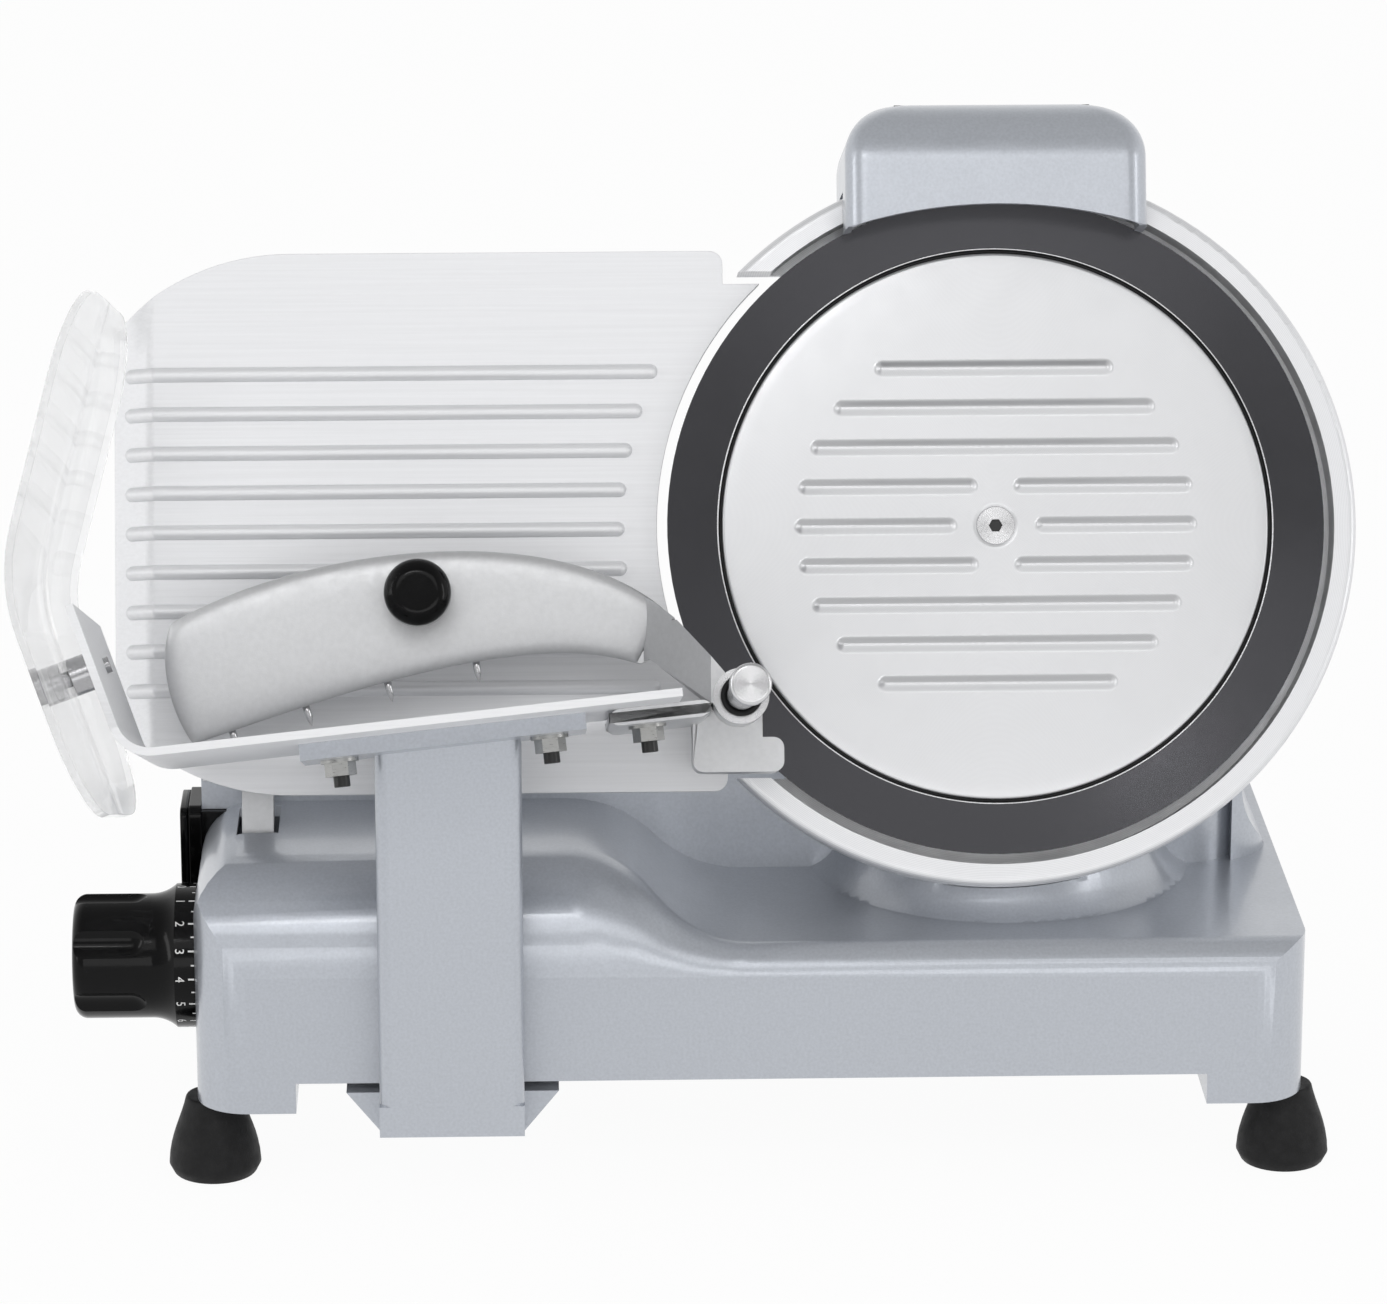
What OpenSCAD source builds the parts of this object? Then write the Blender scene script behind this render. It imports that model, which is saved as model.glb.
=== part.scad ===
// Gravity food slicer: a tilted round blade on a hollow cast base, with a sliding tray.
// Millimetres, +Z up. The origin is on the table, below the middle of the whole machine.
// X runs along the carriage travel, +Y to the back. Blade pieces are drawn in the
// blade's own frame: x along the base, y up the blade's face, z out towards the tray.

/* [Base casting] */
// Width of the base
base_w = 420; // [400:1:450]
// Depth of the base
base_d = 240; // [236:1:270]
// Radius of the base's upright corners
corner_r = 20; // [14:1:26]
// Wall of the casting
wall = 4; // [3:0.5:5]
// Height of the base's lower edge above the table
underside_z = 43; // [40:0.5:46]
// Height of the corner pads above the table
pad_z = 31; // [28:0.5:34]
// Width of a corner pad
pad_w = 38; // [34:1:44]
// Height of the front deck
deck_z = 94; // [92:0.5:98]
// Height of the raised left part
raised_z = 123; // [118:0.5:128]
// Width of the raised left part before it slopes down
raised_w = 141; // [130:1:150]
// Length of the slope down to the deck
slope_w = 68; // [56:1:80]
// Fillet along the front of the raised part
raised_fillet = 38; // [20:1:44]
// Fillet along the front of the deck
deck_fillet = 12; // [6:1:16]
// Distance from the front to the platform behind
platform_y = 97; // [95:0.5:102]
// Height of the platform behind the plate
platform_z = 142; // [136:0.5:146]
// Radius of the round tower under the blade
tower_r = 62; // [58:0.5:66]
// Cove where the tower meets the deck
cove_r = 18; // [10:0.5:22]
// Height of the square motor tower
tower_top = 214; // [200:1:224]

/* [Blade] */
// Radius of the blade
blade_r = 125; // [122:0.5:127]
// Lean of the blade from upright
blade_tilt = 20; // [19:0.25:21]
// Distance from the base's right wall to the blade's axis
blade_inset = 115; // [108:1:122]
// Distance from the base's front to the middle of the blade
blade_setback = 75; // [73:0.5:77]
// Height of the middle of the blade
blade_z = 238; // [236:0.5:242]
// Radius of the cover plate on the blade
cover_r = 104.6; // [98:0.2:106]
// Outer radius of the guard ring
ring_r = 137.4; // [136:0.2:140]
// Radial gap between the blade's edge and the guard ring
ring_gap = 3.8; // [3:0.1:4.5]
// Radius of the blade's fixed spindle
spindle_r = 10; // [8:0.5:11]
// Outer radius of the blade's bearings
bearing_r = 19; // [17:0.5:20]

/* [Thickness gauge] */
// Reach of the gauge plate past the base's left wall
gauge_reach = 30; // [20:1:35]
// Top edge of the plate above the blade's axis
gauge_up = 106; // [100:0.5:110]
// Bottom edge of the plate below the blade's axis
gauge_down = 100; // [97:0.5:102]
// Thickness of the plate
gauge_t = 6; // [5:0.5:7]
// Slice thickness that the dial stands at
slice_set = 3; // [2:0.5:4]
// Greatest slice thickness
slice_max = 15; // [12:0.5:15]
// Spacing of the ribs on the plate and the cover
rib_pitch = 15; // [13:0.25:16]
// Diameter of the dial's grip
dial_d = 47.5; // [42:0.5:52]
// Diameter of the dial's numbered skirt
skirt_d = 55; // [52:0.5:58]
// Length of the dial's grip
dial_len = 39; // [30:1:44]

/* [Carriage] */
// Length of the tray's floor
tray_w = 188; // [176:1:192]
// Depth of the tray along the blade's axis
tray_d = 142; // [130:1:150]
// Gap between the blade's plane and the tray
tray_gap = 8; // [7:0.5:10]
// Thickness of the tray's plate
tray_t = 3; // [2.5:0.25:4]
// Rise of the tray's floor towards the blade, in degrees
tray_rise = 5.9; // [5:0.1:7]
// Height of the tray's end wall along its slope
tray_wall_h = 46; // [38:1:52]
// Width of the carriage column
column_w = 54; // [48:1:58]
// Depth of the carriage column
column_d = 24; // [20:0.5:26]
// Gap between the column and the base
column_gap = 4; // [3:0.5:6]
// Diameter of the rod that the carriage slides on
slide_d = 16; // [14:0.5:18]
// Diameter of the pusher's rod
rod_d = 11; // [10:0.5:12]
// Length of the pusher's rod
rod_len = 146; // [136:1:156]
// Diameter of the pusher's knob
knob_d = 25; // [22:0.5:28]

/* [Sharpener] */
// Width of the sharpener's cover
hood_w = 114; // [108:1:120]
// Height of the sharpener's cover
hood_h = 49; // [47:0.5:52]
// Depth of the sharpener's cover
hood_d = 67; // [64:0.5:72]
// Wall of the sharpener's cover
hood_wall = 3; // [2:0.25:3.5]

/* [Small parts] */
// Diameter of a rubber foot
foot_d = 35; // [30:0.5:36]
// Diameter of a foot's neck
foot_neck_d = 21; // [18:0.5:26]
// Width of the switch housing
switch_w = 30; // [26:0.5:34]
// Height of the switch housing
switch_h = 34; // [32:0.5:38]
// Radius of the motor
motor_r = 38; // [34:0.5:39]
// Radial play of a running fit
play = 0.05; // [0.02:0.01:0.1]
// Gap between pieces that pass each other
gap = 0.4; // [0.3:0.05:0.6]

/* [Hidden] */
$fn = 64;
eps = 0.01;
// Middle of the base, which the tray and the guard overhang to the left and in front
mid_x = 17.2;
mid_y = 46.8;
left = mid_x - base_w / 2;
right = mid_x + base_w / 2;
front = mid_y - base_d / 2;
back = mid_y + base_d / 2;
blade_x = right - blade_inset;
blade_y = front + blade_setback;
rear_y = front + platform_y;
cos_t = cos(blade_tilt);
sin_t = sin(blade_tilt);

// Slope between the raised part and the deck: two equal arcs that meet halfway
slope_x = left + raised_w;
slope_drop = raised_z - deck_z;
slope_angle = 2 * atan(slope_drop / slope_w);
slope_r = slope_w / (2 * sin(slope_angle));
platform_fillet = 10;

// Tower and drum behind the blade, as offsets along the blade's axis
tower_x = blade_x + 5;
tower_y = front + blade_setback + 27;
tower_left = blade_x - 62;
tower_right = blade_x + 100;
tower_back = back - 12;
tower_corner = 22;
tower_round = 30;
flare_w = 12;
flare_h = 28;
round_top = 190;
drum_r = 80;
drum_wall = 5;
ring_back = -18;
drum_back = -62;
web_t = 6;
ring_t = 4;
rim_front = 1.5;
ring_bore = 52;
ring_in = blade_r + ring_gap;

// Blade stack, as offsets along the blade's axis
blade_seat = -4;
blade_t = 3;
cover_front = -1.4;
cover_t = 2.2;
blade_bore = 22;
step_r = cover_r + 0.8;
hub_back = -38;
pulley_r = 38;
pulley_w = 14;
belt_t = 3;
spindle_end = cover_front - cover_t - 0.6;

// Motor below the blade's axis
motor_x = 15;
motor_u = -98;
motor_flange_r = motor_r + 8;
motor_flange_t = 4;
motor_len = 82;
motor_pulley_r = 14;
motor_shaft_r = 6;
motor_front = drum_back + web_t + motor_flange_t;

// Gauge plate and its slide
gauge_front = -(slice_set + 2);
gauge_back = gauge_front - gauge_t;
gauge_left = blade_x - left + gauge_reach;
gauge_arc = ring_in;
gauge_step = ring_in * 0.74;
gauge_corner = 90;
bend_w = 16;
bend_angle = 36;
rib_r = 2.7;
rib_count = 9;
guide_r = 6;
guide_u = -135;
guide_x = left + 23 - blade_x;
guide_front = -16;
guide_back = -96;
guide_block = 8;
guide_top = (raised_z - wall / 2 - blade_z - guide_front * sin_t) / cos_t;
sleeve_r = 11;
sleeve_front = guide_front - guide_block - slice_set - 7;
sleeve_len = 32;
arm_t = 12;
arm_front = guide_front - guide_block - slice_set - 2;
arm_back = arm_front - arm_t;
arm_top = -56;
gauge_open = slice_max - slice_set;

// Dial, its shaft and spiral cam
dial_y = front + 50;
dial_z = 77;
dial_shaft_r = 6;
cam_t = 5;
cam_min = 11;
cam_gap = 1;
divisions = 16;
turn_per_mm = 360 / divisions;
pin_r = 3;
skirt_t = 8;
dial_u = (dial_y - blade_y) * sin_t + (dial_z - blade_z) * cos_t;
dial_n = (dial_z - blade_z) * sin_t - (dial_y - blade_y) * cos_t;

// Carriage rod, rail and slider
slide_y = front + 97;
slide_z = 60;
slide_boss_r = 14;
slide_boss_len = 12;
rail_y = front + wall + 4;
rail_w = 8;
rail_z = 52;
rail_h = 8;
roller_r = 8;
column_front = front - column_gap - column_d;
column_foot = 32;
arm_under = 24;
slider_w = 80;
slider_z = underside_z - 3;
slider_back = slide_y + 16;
slider_front = rail_y + rail_w + 4;
bush_wall = 3;
bush_w = 24;

// Tray: its floor starts at the bend and rises towards the blade
tray_over = 6;
tray_x = left - blade_x - tray_over;
tray_u = -87;
tray_bend = 12;
tray_turn = 180 - 104;
plate_w = 104;
plate_end = 34.5;
plate_t = 6;
column_off = 2.04;
plate_n = 80;
plate_d = 50;
bolt_r = 3;
nut_r = 5.8;
nut_h = 5;
washer_r = 7;
washer_t = 1.2;
bolt_inset = 13.5;
bracket_bolt = 12;
bolt_at = [
  tray_w - plate_end - plate_w + bolt_inset, tray_w - plate_end - bolt_inset, tray_w - bracket_bolt
];
column_x = blade_x + tray_x + (tray_w - plate_end - plate_w / 2) * cos(tray_rise) + column_off;

// Pusher rod, bracket, bush and arm; the arm's places are taken from the rod's axis
rod_out = 24;
rod_up = 0.68;
rod_x = tray_x + tray_w * cos(tray_rise) + rod_out;
rod_u = tray_u + tray_w * sin(tray_rise) + rod_up;
rod_n = tray_gap + 1;
bracket_n = rod_n + 1;
bracket_d = 24;
bracket_half = 17;
bush_n = bracket_n + bracket_d + gap;
bush_len = 32;
bush_r = rod_d / 2 + 2;
boss_r = bush_r + 2.8;
collar_t = 2;
press_n = bracket_n + 14;
press_t = 7;
neck_in = bracket_half + 6;
spike_len = 13;
spike_r = 3.5;
knob_at = [-119, 40];
knob_h = 28;
cap_r = 7.5;
cap_h = 9;

// Hand guard beside the tray's end wall
guard_t = 3;
guard_off = 10;
guard_up = 68;
guard_down = 27;
guard_top = 107;
guard_turn = 34;
guard_n0 = 22;
guard_n1 = 148;
guard_round = 34;
stud_up = 26;
stud_n = 82;
stud_r = 7;

// Sharpener on top of the ring
hood_top = 160;
hood_front = 27;
hood_back = hood_front - hood_d;
hood_corner = 22;
hood_fillet = 24;
post_n = -30;
post_r = 5;
post_foot = 84;
post_top = 146;
sleeve_low = 102;
stone_x = 24;
stone_u = 144;
stone_r = 9;
stone_t = 6;
pin_spindle_r = 3;
press = 4;

// Feet, switch and small fasteners
foot_h = pad_z;
foot_in_x = 6;
foot_in_y = 22;
foot_bolt_r = 3;
switch_y = front + 107;
switch_z = 105;
switch_out = 5;
switch_in = 10;
button_w = 22;
button_h = 12;
button_out = 3;
button_travel = 3;
gland_r = 9;
gland_x = tower_right - 80;
gland_z = 70;
screw_r = 2.5;
screw_head_r = 4.5;

// Frame of the blade: x along the base, y up the blade's face, z towards the tray
module in_blade() {
  translate([blade_x, blade_y, blade_z])
    rotate([90 - blade_tilt, 0, 0])
      children();
}

// Solid between two offsets along the blade's axis
module slab(n0, n1) {
  translate([0, 0, n0])
    linear_extrude(n1 - n0)
      children();
}

// Solid carried along X from a drawing in Y and Z
module along_x(x0, x1) {
  translate([x0, 0, 0])
    rotate([90, 0, 90])
      linear_extrude(x1 - x0)
        children();
}

// Solid carried along Y from a drawing in X and Z
module along_y(y0, y1) {
  translate([0, y1, 0])
    rotate([90, 0, 0])
      linear_extrude(y1 - y0)
        children();
}

// Block between two corners
module block(low, high) {
  translate(low)
    cube(high - low);
}

// Flat rectangle with round corners, about its middle
module round_rect(w, d, r) {
  square([w - 2 * r, d], center = true);
  square([w, d - 2 * r], center = true);
  for (sx = [-1, 1], sy = [-1, 1])
    translate([sx * (w / 2 - r), sy * (d / 2 - r)])
      circle(r);
}

// What a fillet takes off an upper corner; side is +1 where the solid lies to the right
module corner_cut(a, b, r, side) {
  difference() {
    translate([side > 0 ? a - 1 : a - r, b - r])
      square([r + 1, r + 1]);
    translate([a + side * r, b - r])
      circle(r);
  }
}

// Round bar with round ends along x
module rib(x0, x1, r) {
  translate([x0, 0, 0])
    rotate([0, 90, 0])
      cylinder(r = r, h = x1 - x0);
  for (x = [x0, x1])
    translate([x, 0, 0])
      sphere(r);
}

// Points of a cubic curve, from its two ends and two handles
function curve(a, b, c, d, steps) = [
  for (i = [0 : steps])
    let (t = i / steps, s = 1 - t)
      s * s * s * a + 3 * s * s * t * b + 3 * s * t * t * c + t * t * t * d
];

// Points along an arc
function arc(c, r, a0, a1, steps) = [
  for (i = [0 : steps])
    let (a = a0 + (a1 - a0) * i / steps)
      c + r * [cos(a), sin(a)]
];

// Top of the slope in the front view, from the raised part to the deck
slope_steps = 10;
slope_line = concat(
  arc([slope_x, raised_z - slope_r], slope_r, 90, 90 - slope_angle, slope_steps),
  [
    for (i = [1 : slope_steps])
      let (a = 270 - slope_angle + slope_angle * i / slope_steps)
        [slope_x + slope_w, deck_z + slope_r] + slope_r * [cos(a), sin(a)]
  ]
);

// Front view of the base: raised part, slope and deck
module front_profile() {
  polygon(concat(
    [[left, underside_z]],
    arc([left + corner_r, raised_z - corner_r], corner_r, 180, 90, 8),
    slope_line,
    [[right, deck_z], [right, underside_z]]
  ));
}

// What the fillet takes off the top front edge; its radius shrinks as the top comes down
module front_cut() {
  over = 1;
  arc_steps = 10;
  stations = [
    for (p = concat([[left - over, raised_z]], slope_line, [[right + over, deck_z]]))
      let (r = deck_fillet + (raised_fillet - deck_fillet) * (p[1] - deck_z) / slope_drop)
        concat(
          [[p[0], front + r, p[1] + over], [p[0], front - over, p[1] + over], [p[0], front - over, p[1] - r]],
          [for (q = arc([front + r, p[1] - r], r, 180, 90, arc_steps)) [p[0], q[0], q[1]]]
        )
  ];
  count = len(stations[0]);
  last = len(stations) - 1;
  polyhedron(
    points = [for (station = stations) each station],
    faces = concat(
      [[for (j = [0 : count - 1]) j]],
      [[for (j = [count - 1 : -1 : 0]) last * count + j]],
      [
        for (i = [0 : last - 1], j = [0 : count - 1])
          let (a = i * count + j, b = i * count + (j + 1) % count)
            each [[a, a + count, b + count], [a, b + count, b]]
      ]
    )
  );
}

// Side view of a level from y0 to the back, with a fillet along its front
module side_profile(top, r, y0) {
  difference() {
    translate([y0, underside_z])
      square([back - y0, top - underside_z]);
    corner_cut(y0, top, r, 1);
  }
}

// Plan of the base, set in by s
module plan(s, z0, z1) {
  translate([mid_x, mid_y, z0])
    linear_extrude(z1 - z0)
      round_rect(base_w - 2 * s, base_d - 2 * s, corner_r - s);
}

// Square motor tower, set in by s, up to a height and back to a depth
module motor_tower(s, y1, z1) {
  z0 = underside_z - s;
  translate([(tower_left + tower_right) / 2, (rear_y + s + y1) / 2, z0])
    linear_extrude(z1 - z0)
      round_rect(tower_right - tower_left - 2 * s, y1 - rear_y - s, tower_corner - s);
}

// Tower under the blade: a round front with a cove at the deck, and a square motor tower
module tower() {
  flare = tower_r + cove_r;
  dip = 1;
  translate([tower_x, tower_y, 0])
    rotate_extrude()
      difference() {
        translate([0, underside_z + wall])
          square([flare, round_top - underside_z - wall]);
        translate([flare, deck_z + cove_r - dip])
          circle(cove_r);
        translate([tower_r, deck_z + cove_r - dip])
          square([flare, round_top]);
      }
  difference() {
    motor_tower(0, tower_back, tower_top);
    along_x(tower_left - 1, tower_right + 1)
      corner_cut(tower_back, tower_top, tower_round, -1);
  }
  // Flare at the right foot of the motor tower, rounded in plan at both ends
  intersection() {
    along_y(rear_y, tower_back)
      polygon(concat(
        [[tower_right - wall, deck_z - wall], [tower_right - wall, deck_z + flare_h]],
        curve(
          [tower_right, deck_z + flare_h], [tower_right + 1, deck_z + flare_h / 2],
          [tower_right + flare_w * 0.7, deck_z + flare_h / 3], [tower_right + flare_w, deck_z - dip], 8
        ),
        [[tower_right + flare_w, deck_z - wall]]
      ));
    translate([tower_right - tower_corner, (rear_y + tower_back) / 2, underside_z])
      linear_extrude(tower_top - underside_z)
        round_rect(2 * (tower_corner + flare_w), tower_back - rear_y, tower_corner + flare_w / 2);
  }
}

// Outer form of the casting
module outer_form() {
  difference() {
    union() {
      along_y(front, back)
        front_profile();
      along_x(left, blade_x)
        side_profile(platform_z, platform_fillet, rear_y);
    }
    front_cut();
    // Upright corners
    for (sx = [-1, 1], sy = [-1, 1])
      translate([mid_x, mid_y, underside_z - 1])
        linear_extrude(blade_z)
          difference() {
            translate([sx * base_w / 2, sy * base_d / 2])
              square(2 * corner_r, center = true);
            translate([sx * (base_w / 2 - corner_r), sy * (base_d / 2 - corner_r)])
              circle(corner_r);
          }
  }
  tower();
  in_blade()
    slab(drum_back, ring_back)
      circle(drum_r);
}

// Hollow inside the casting, open below and at the drum's mouth
module inner_form() {
  side_low = raised_z - corner_r + wall / 2;
  plan(wall, underside_z - 1, deck_z - wall);
  for (hollow = [[wall, side_low], [11.5, raised_z - wall]])
    along_x(left + hollow[0], slope_x)
      polygon([
        [front + corner_r - 6, underside_z], [front + corner_r - 6, deck_z - wall],
        [front + raised_fillet, hollow[1]], [rear_y + 2 * wall, hollow[1]], [rear_y + 2 * wall, underside_z]
      ]);
  translate([(left + blade_x) / 2, (rear_y + back) / 2, underside_z])
    linear_extrude(platform_z - wall - underside_z)
      round_rect(blade_x - left - 2 * wall, back - rear_y - 2 * wall, corner_r - wall);
  // The round tower keeps a wall behind the guard ring
  difference() {
    translate([tower_x, tower_y, underside_z])
      cylinder(r = tower_r - wall, h = round_top - wall - underside_z);
    in_blade()
      slab(ring_back - wall, blade_r)
        square(3 * blade_r, center = true);
  }
  motor_tower(wall, tower_back - wall, tower_top - tower_round);
  motor_tower(wall, tower_back - tower_round, tower_top - wall);
  in_blade()
    slab(drum_back + wall, ring_back + 1)
      circle(drum_r - drum_wall);
}

// Corner pads over the feet
module corner_pads() {
  for (sx = [-1, 1], sy = [-1, 1])
    intersection() {
      plan(0, pad_z, underside_z + 2);
      translate([mid_x + sx * (base_w - pad_w) / 2, mid_y + sy * (base_d - pad_w) / 2, underside_z])
        cube([pad_w, pad_w, 4 * pad_w], center = true);
    }
}

// Places of the screws that hold the base plate
plate_screws = [
  [left + wall + 6, rear_y + 50],
  [right - wall - 6, rear_y + 50],
  [left + pad_w + 22, back - wall - 6],
  [right - pad_w - 22, back - wall - 6]
];
plate_t_base = 2;
plate_front = slider_back + 12;

// Inner seats of the casting: webs, bosses and pillars
module casting_seats() {
  corner_pads();
  for (p = plate_screws)
    translate([p[0], p[1], underside_z + plate_t_base])
      cylinder(r = 7, h = 24);
  for (sx = [-1, 1])
    translate([mid_x + sx * (base_w / 2 - wall + 1), slide_y, slide_z])
      rotate([0, -sx * 90, 0])
        cylinder(r = slide_boss_r, h = slide_boss_len + 1);
  for (sx = [-1, 1])
    translate([mid_x + sx * (base_w / 2 - pad_w + 10), rail_y + rail_w / 2, (underside_z + rail_z) / 2])
      cube([16, rail_w, rail_z - underside_z], center = true);
  in_blade() {
    slab(drum_back, drum_back + web_t)
      difference() {
        union() {
          circle(drum_r - 1);
          translate([motor_x - motor_flange_r - 2, motor_u - motor_flange_r + 4])
            square([2 * motor_flange_r + 2, motor_flange_r - motor_u]);
        }
        translate([motor_x, motor_u])
          circle(motor_r + gap);
      }
    for (a = [45 : 90 : 315])
      rotate(a)
        translate([drum_r - 9, 0, drum_back + 1])
          cylinder(r = 7, h = ring_back - drum_back - 1);
    // Seats of the gauge's slide bar: the front one hangs from the roof, past the cam
    difference() {
      union() {
        block(
          [guide_x - sleeve_r, guide_u - sleeve_r, guide_front - guide_block],
          [guide_x + sleeve_r, guide_top, guide_front]
        );
        block(
          [left + wall - 1 - blade_x, guide_u - sleeve_r, guide_back],
          [guide_x + sleeve_r, guide_u + sleeve_r, guide_back + guide_block]
        );
      }
      translate([guide_x, guide_u, guide_back - 1])
        cylinder(r = guide_r + play / 2, h = guide_front - guide_back + 2);
    }
  }
}

module base_casting() {
  color([0.72, 0.73, 0.74])
    difference() {
      union() {
        difference() {
          outer_form();
          inner_form();
        }
        casting_seats();
      }
      // Seat of the guard ring and screw holes round it
      in_blade() {
        translate([0, 0, ring_back])
          cylinder(r = ring_r + gap, h = 60);
        for (a = [45 : 90 : 315])
          rotate(a)
            translate([drum_r - 9, 0, ring_back - 14])
              cylinder(r = screw_r + play / 2, h = 15);
        // Hole for the spindle's tail
        translate([0, 0, drum_back - 1])
          cylinder(r = spindle_r + play / 2, h = web_t + 2);
        // Motor screw holes
        for (a = [45 : 90 : 315])
          translate([motor_x, motor_u, drum_back - 1])
            rotate(a)
              translate([motor_r + 4, 0, 0])
                cylinder(r = screw_r - 1 + play / 2, h = web_t + 2);
        // Slot for the gauge arm
        block(
          [guide_x - arm_t / 2 - 2, guide_u + sleeve_r + 1, arm_back - gauge_open - 2],
          [guide_x + arm_t / 2 + 2, guide_u + 50, arm_front + slice_set + 2]
        );
      }
      // Bore of the carriage rod, blind at both ends
      along_x(left + wall, right - wall)
        translate([slide_y, slide_z])
          circle(slide_d / 2 + play / 2);
      // Bearing of the dial's shaft
      along_x(left - 1, left + wall + 1)
        translate([dial_y, dial_z])
          circle(dial_shaft_r + play);
      // Opening for the switch
      along_x(left - 1, left + switch_in + 2)
        translate([switch_y, switch_z])
          square([switch_w - 4, switch_h - 4], center = true);
      // Cable inlet
      translate([gland_x, back - wall - 1, gland_z])
        rotate([-90, 0, 0])
          cylinder(r = gland_r + play, h = wall + 2);
      for (p = plate_screws)
        translate([p[0], p[1], underside_z])
          cylinder(r = screw_r + play / 2, h = 18);
      each_foot()
        translate([0, 0, pad_z - 1])
          cylinder(r = foot_bolt_r + play / 2, h = 11);
    }
}

module base_plate() {
  color([0.62, 0.63, 0.64])
    difference() {
      intersection() {
        plan(wall + gap, underside_z, underside_z + plate_t_base);
        block(
          [left, plate_front, underside_z - 1],
          [right, back, underside_z + plate_t_base + 1]
        );
      }
      for (sx = [-1, 1])
        translate([mid_x + sx * (base_w - pad_w) / 2, mid_y + (base_d - pad_w) / 2, underside_z])
          cube([pad_w + 2 * gap, pad_w + 2 * gap, 20], center = true);
      for (p = plate_screws)
        translate([p[0], p[1], underside_z - 1])
          cylinder(r = screw_r + gap, h = plate_t_base + 2);
    }
}

module base_plate_screws() {
  color([0.75, 0.75, 0.76])
    for (p = plate_screws)
      translate([p[0], p[1], underside_z - 2.5])
        union() {
          cylinder(r = screw_head_r, h = 2.5);
          cylinder(r = screw_r, h = 16);
        }
}

// One foot: a rubber bell, widest near the table, with a recess for the bolt's head
module foot() {
  rim = foot_d / 2;
  neck = foot_neck_d / 2;
  rotate_extrude()
    difference() {
      polygon(concat(
        [[foot_bolt_r + play, 0], [rim - 2, 0]],
        curve([rim, 4], [rim - 0.5, foot_h / 2], [neck + 2, foot_h * 0.7], [neck, foot_h], 8),
        [[foot_bolt_r + play, foot_h]]
      ));
      translate([0, -1])
        square([foot_bolt_r + 4.5, 9]);
    }
}

module each_foot() {
  for (sx = [-1, 1], sy = [-1, 1])
    translate([mid_x + sx * (base_w / 2 - foot_in_x), mid_y + sy * (base_d / 2 - foot_in_y), 0])
      children();
}

module rubber_feet() {
  color([0.08, 0.08, 0.08])
    each_foot()
      foot();
}

module foot_bolts() {
  color([0.7, 0.7, 0.7])
    each_foot()
      union() {
        translate([0, 0, 3])
          cylinder(r = foot_bolt_r + 3, h = 5);
        translate([0, 0, 8 - eps])
          cylinder(r = foot_bolt_r, h = pad_z + 1);
      }
}

// Ring round the blade, open on the cutting side, with the dish behind the blade
module blade_guard_ring() {
  color([0.83, 0.84, 0.85])
    in_blade()
      difference() {
        rotate_extrude() {
          difference() {
            translate([ring_in, ring_back])
              square([ring_r - ring_in, rim_front - ring_back]);
            corner_cut(ring_r, rim_front, 3, -1);
          }
          translate([ring_bore, ring_back])
            square([ring_r - 1 - ring_bore, ring_t]);
        }
        // Cutting side, where the gauge plate and the slices pass
        block([-2 * ring_r, -gauge_step, ring_back - 1], [-drum_r - gap, gauge_step + 2, 20]);
        for (a = [45 : 90 : 315])
          rotate(a)
            translate([drum_r - 9, 0, ring_back - 1])
              cylinder(r = screw_r + gap, h = ring_t + 2);
      }
}

module ring_screws() {
  color([0.75, 0.75, 0.76])
    in_blade()
      for (a = [45 : 90 : 315])
        rotate(a)
          translate([drum_r - 9, 0, 0])
            union() {
              slab(ring_back + ring_t, ring_back + ring_t + 2.5)
                circle(screw_head_r);
              slab(ring_back - 12, ring_back + ring_t + 1)
                circle(screw_r);
            }
}

// Ribs of the cover end on one circle and leave a smaller circle free round the screw
cover_rib_w = 6;
cover_rib_h = 1.2;
cover_rib_out = 74.5;
cover_rib_in = 17;

// Flat bar with round ends along x
module bar(x0, x1, w) {
  translate([x0, -w / 2])
    square([x1 - x0, w]);
  for (x = [x0, x1])
    translate([x, 0])
      circle(w / 2);
}

module blade_cover_plate() {
  color([0.85, 0.86, 0.87])
    in_blade()
      difference() {
        union() {
          slab(cover_front - cover_t, cover_front)
            circle(cover_r);
          slab(spindle_end, cover_front)
            circle(spindle_r);
          slab(cover_front - 1, cover_front + cover_rib_h)
            for (i = [-(rib_count - 1) / 2 : (rib_count - 1) / 2]) {
              y = i * rib_pitch;
              half = sqrt(cover_rib_out * cover_rib_out - y * y);
              free = abs(y) < cover_rib_in ? sqrt(cover_rib_in * cover_rib_in - y * y) : 0;
              translate([0, y]) {
                bar(-half, -free, cover_rib_w);
                bar(free, half, cover_rib_w);
              }
            }
        }
        rotate_extrude()
          polygon([
            [0, spindle_end - 1], [4 + gap, spindle_end - 1],
            [4 + gap, cover_front - 2.4], [8, cover_front], [8, cover_front + 3], [0, cover_front + 3]
          ]);
      }
}

module cover_plate_screw() {
  color([0.8, 0.8, 0.82])
    in_blade()
      difference() {
        rotate_extrude()
          polygon([
            [0, spindle_end - 14], [4, spindle_end - 14], [4, cover_front - 2.6],
            [7.2, cover_front - 0.4], [7.2, cover_front - 0.1], [0, cover_front - 0.1]
          ]);
        translate([0, 0, cover_front - 3.2])
          cylinder(r = 2.6, h = 4, $fn = 6);
      }
}

module blade_spindle() {
  color([0.6, 0.61, 0.63])
    in_blade()
      difference() {
        union() {
          slab(drum_back, spindle_end)
            circle(spindle_r);
          slab(drum_back + web_t, hub_back - 4)
            circle(spindle_r + 10);
        }
        slab(spindle_end - 15, spindle_end + 1)
          circle(4 + play / 2);
      }
}

bearing_w = 9;
bearing_at = [hub_back + 1, blade_seat - blade_t - 4 - bearing_w];

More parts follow.
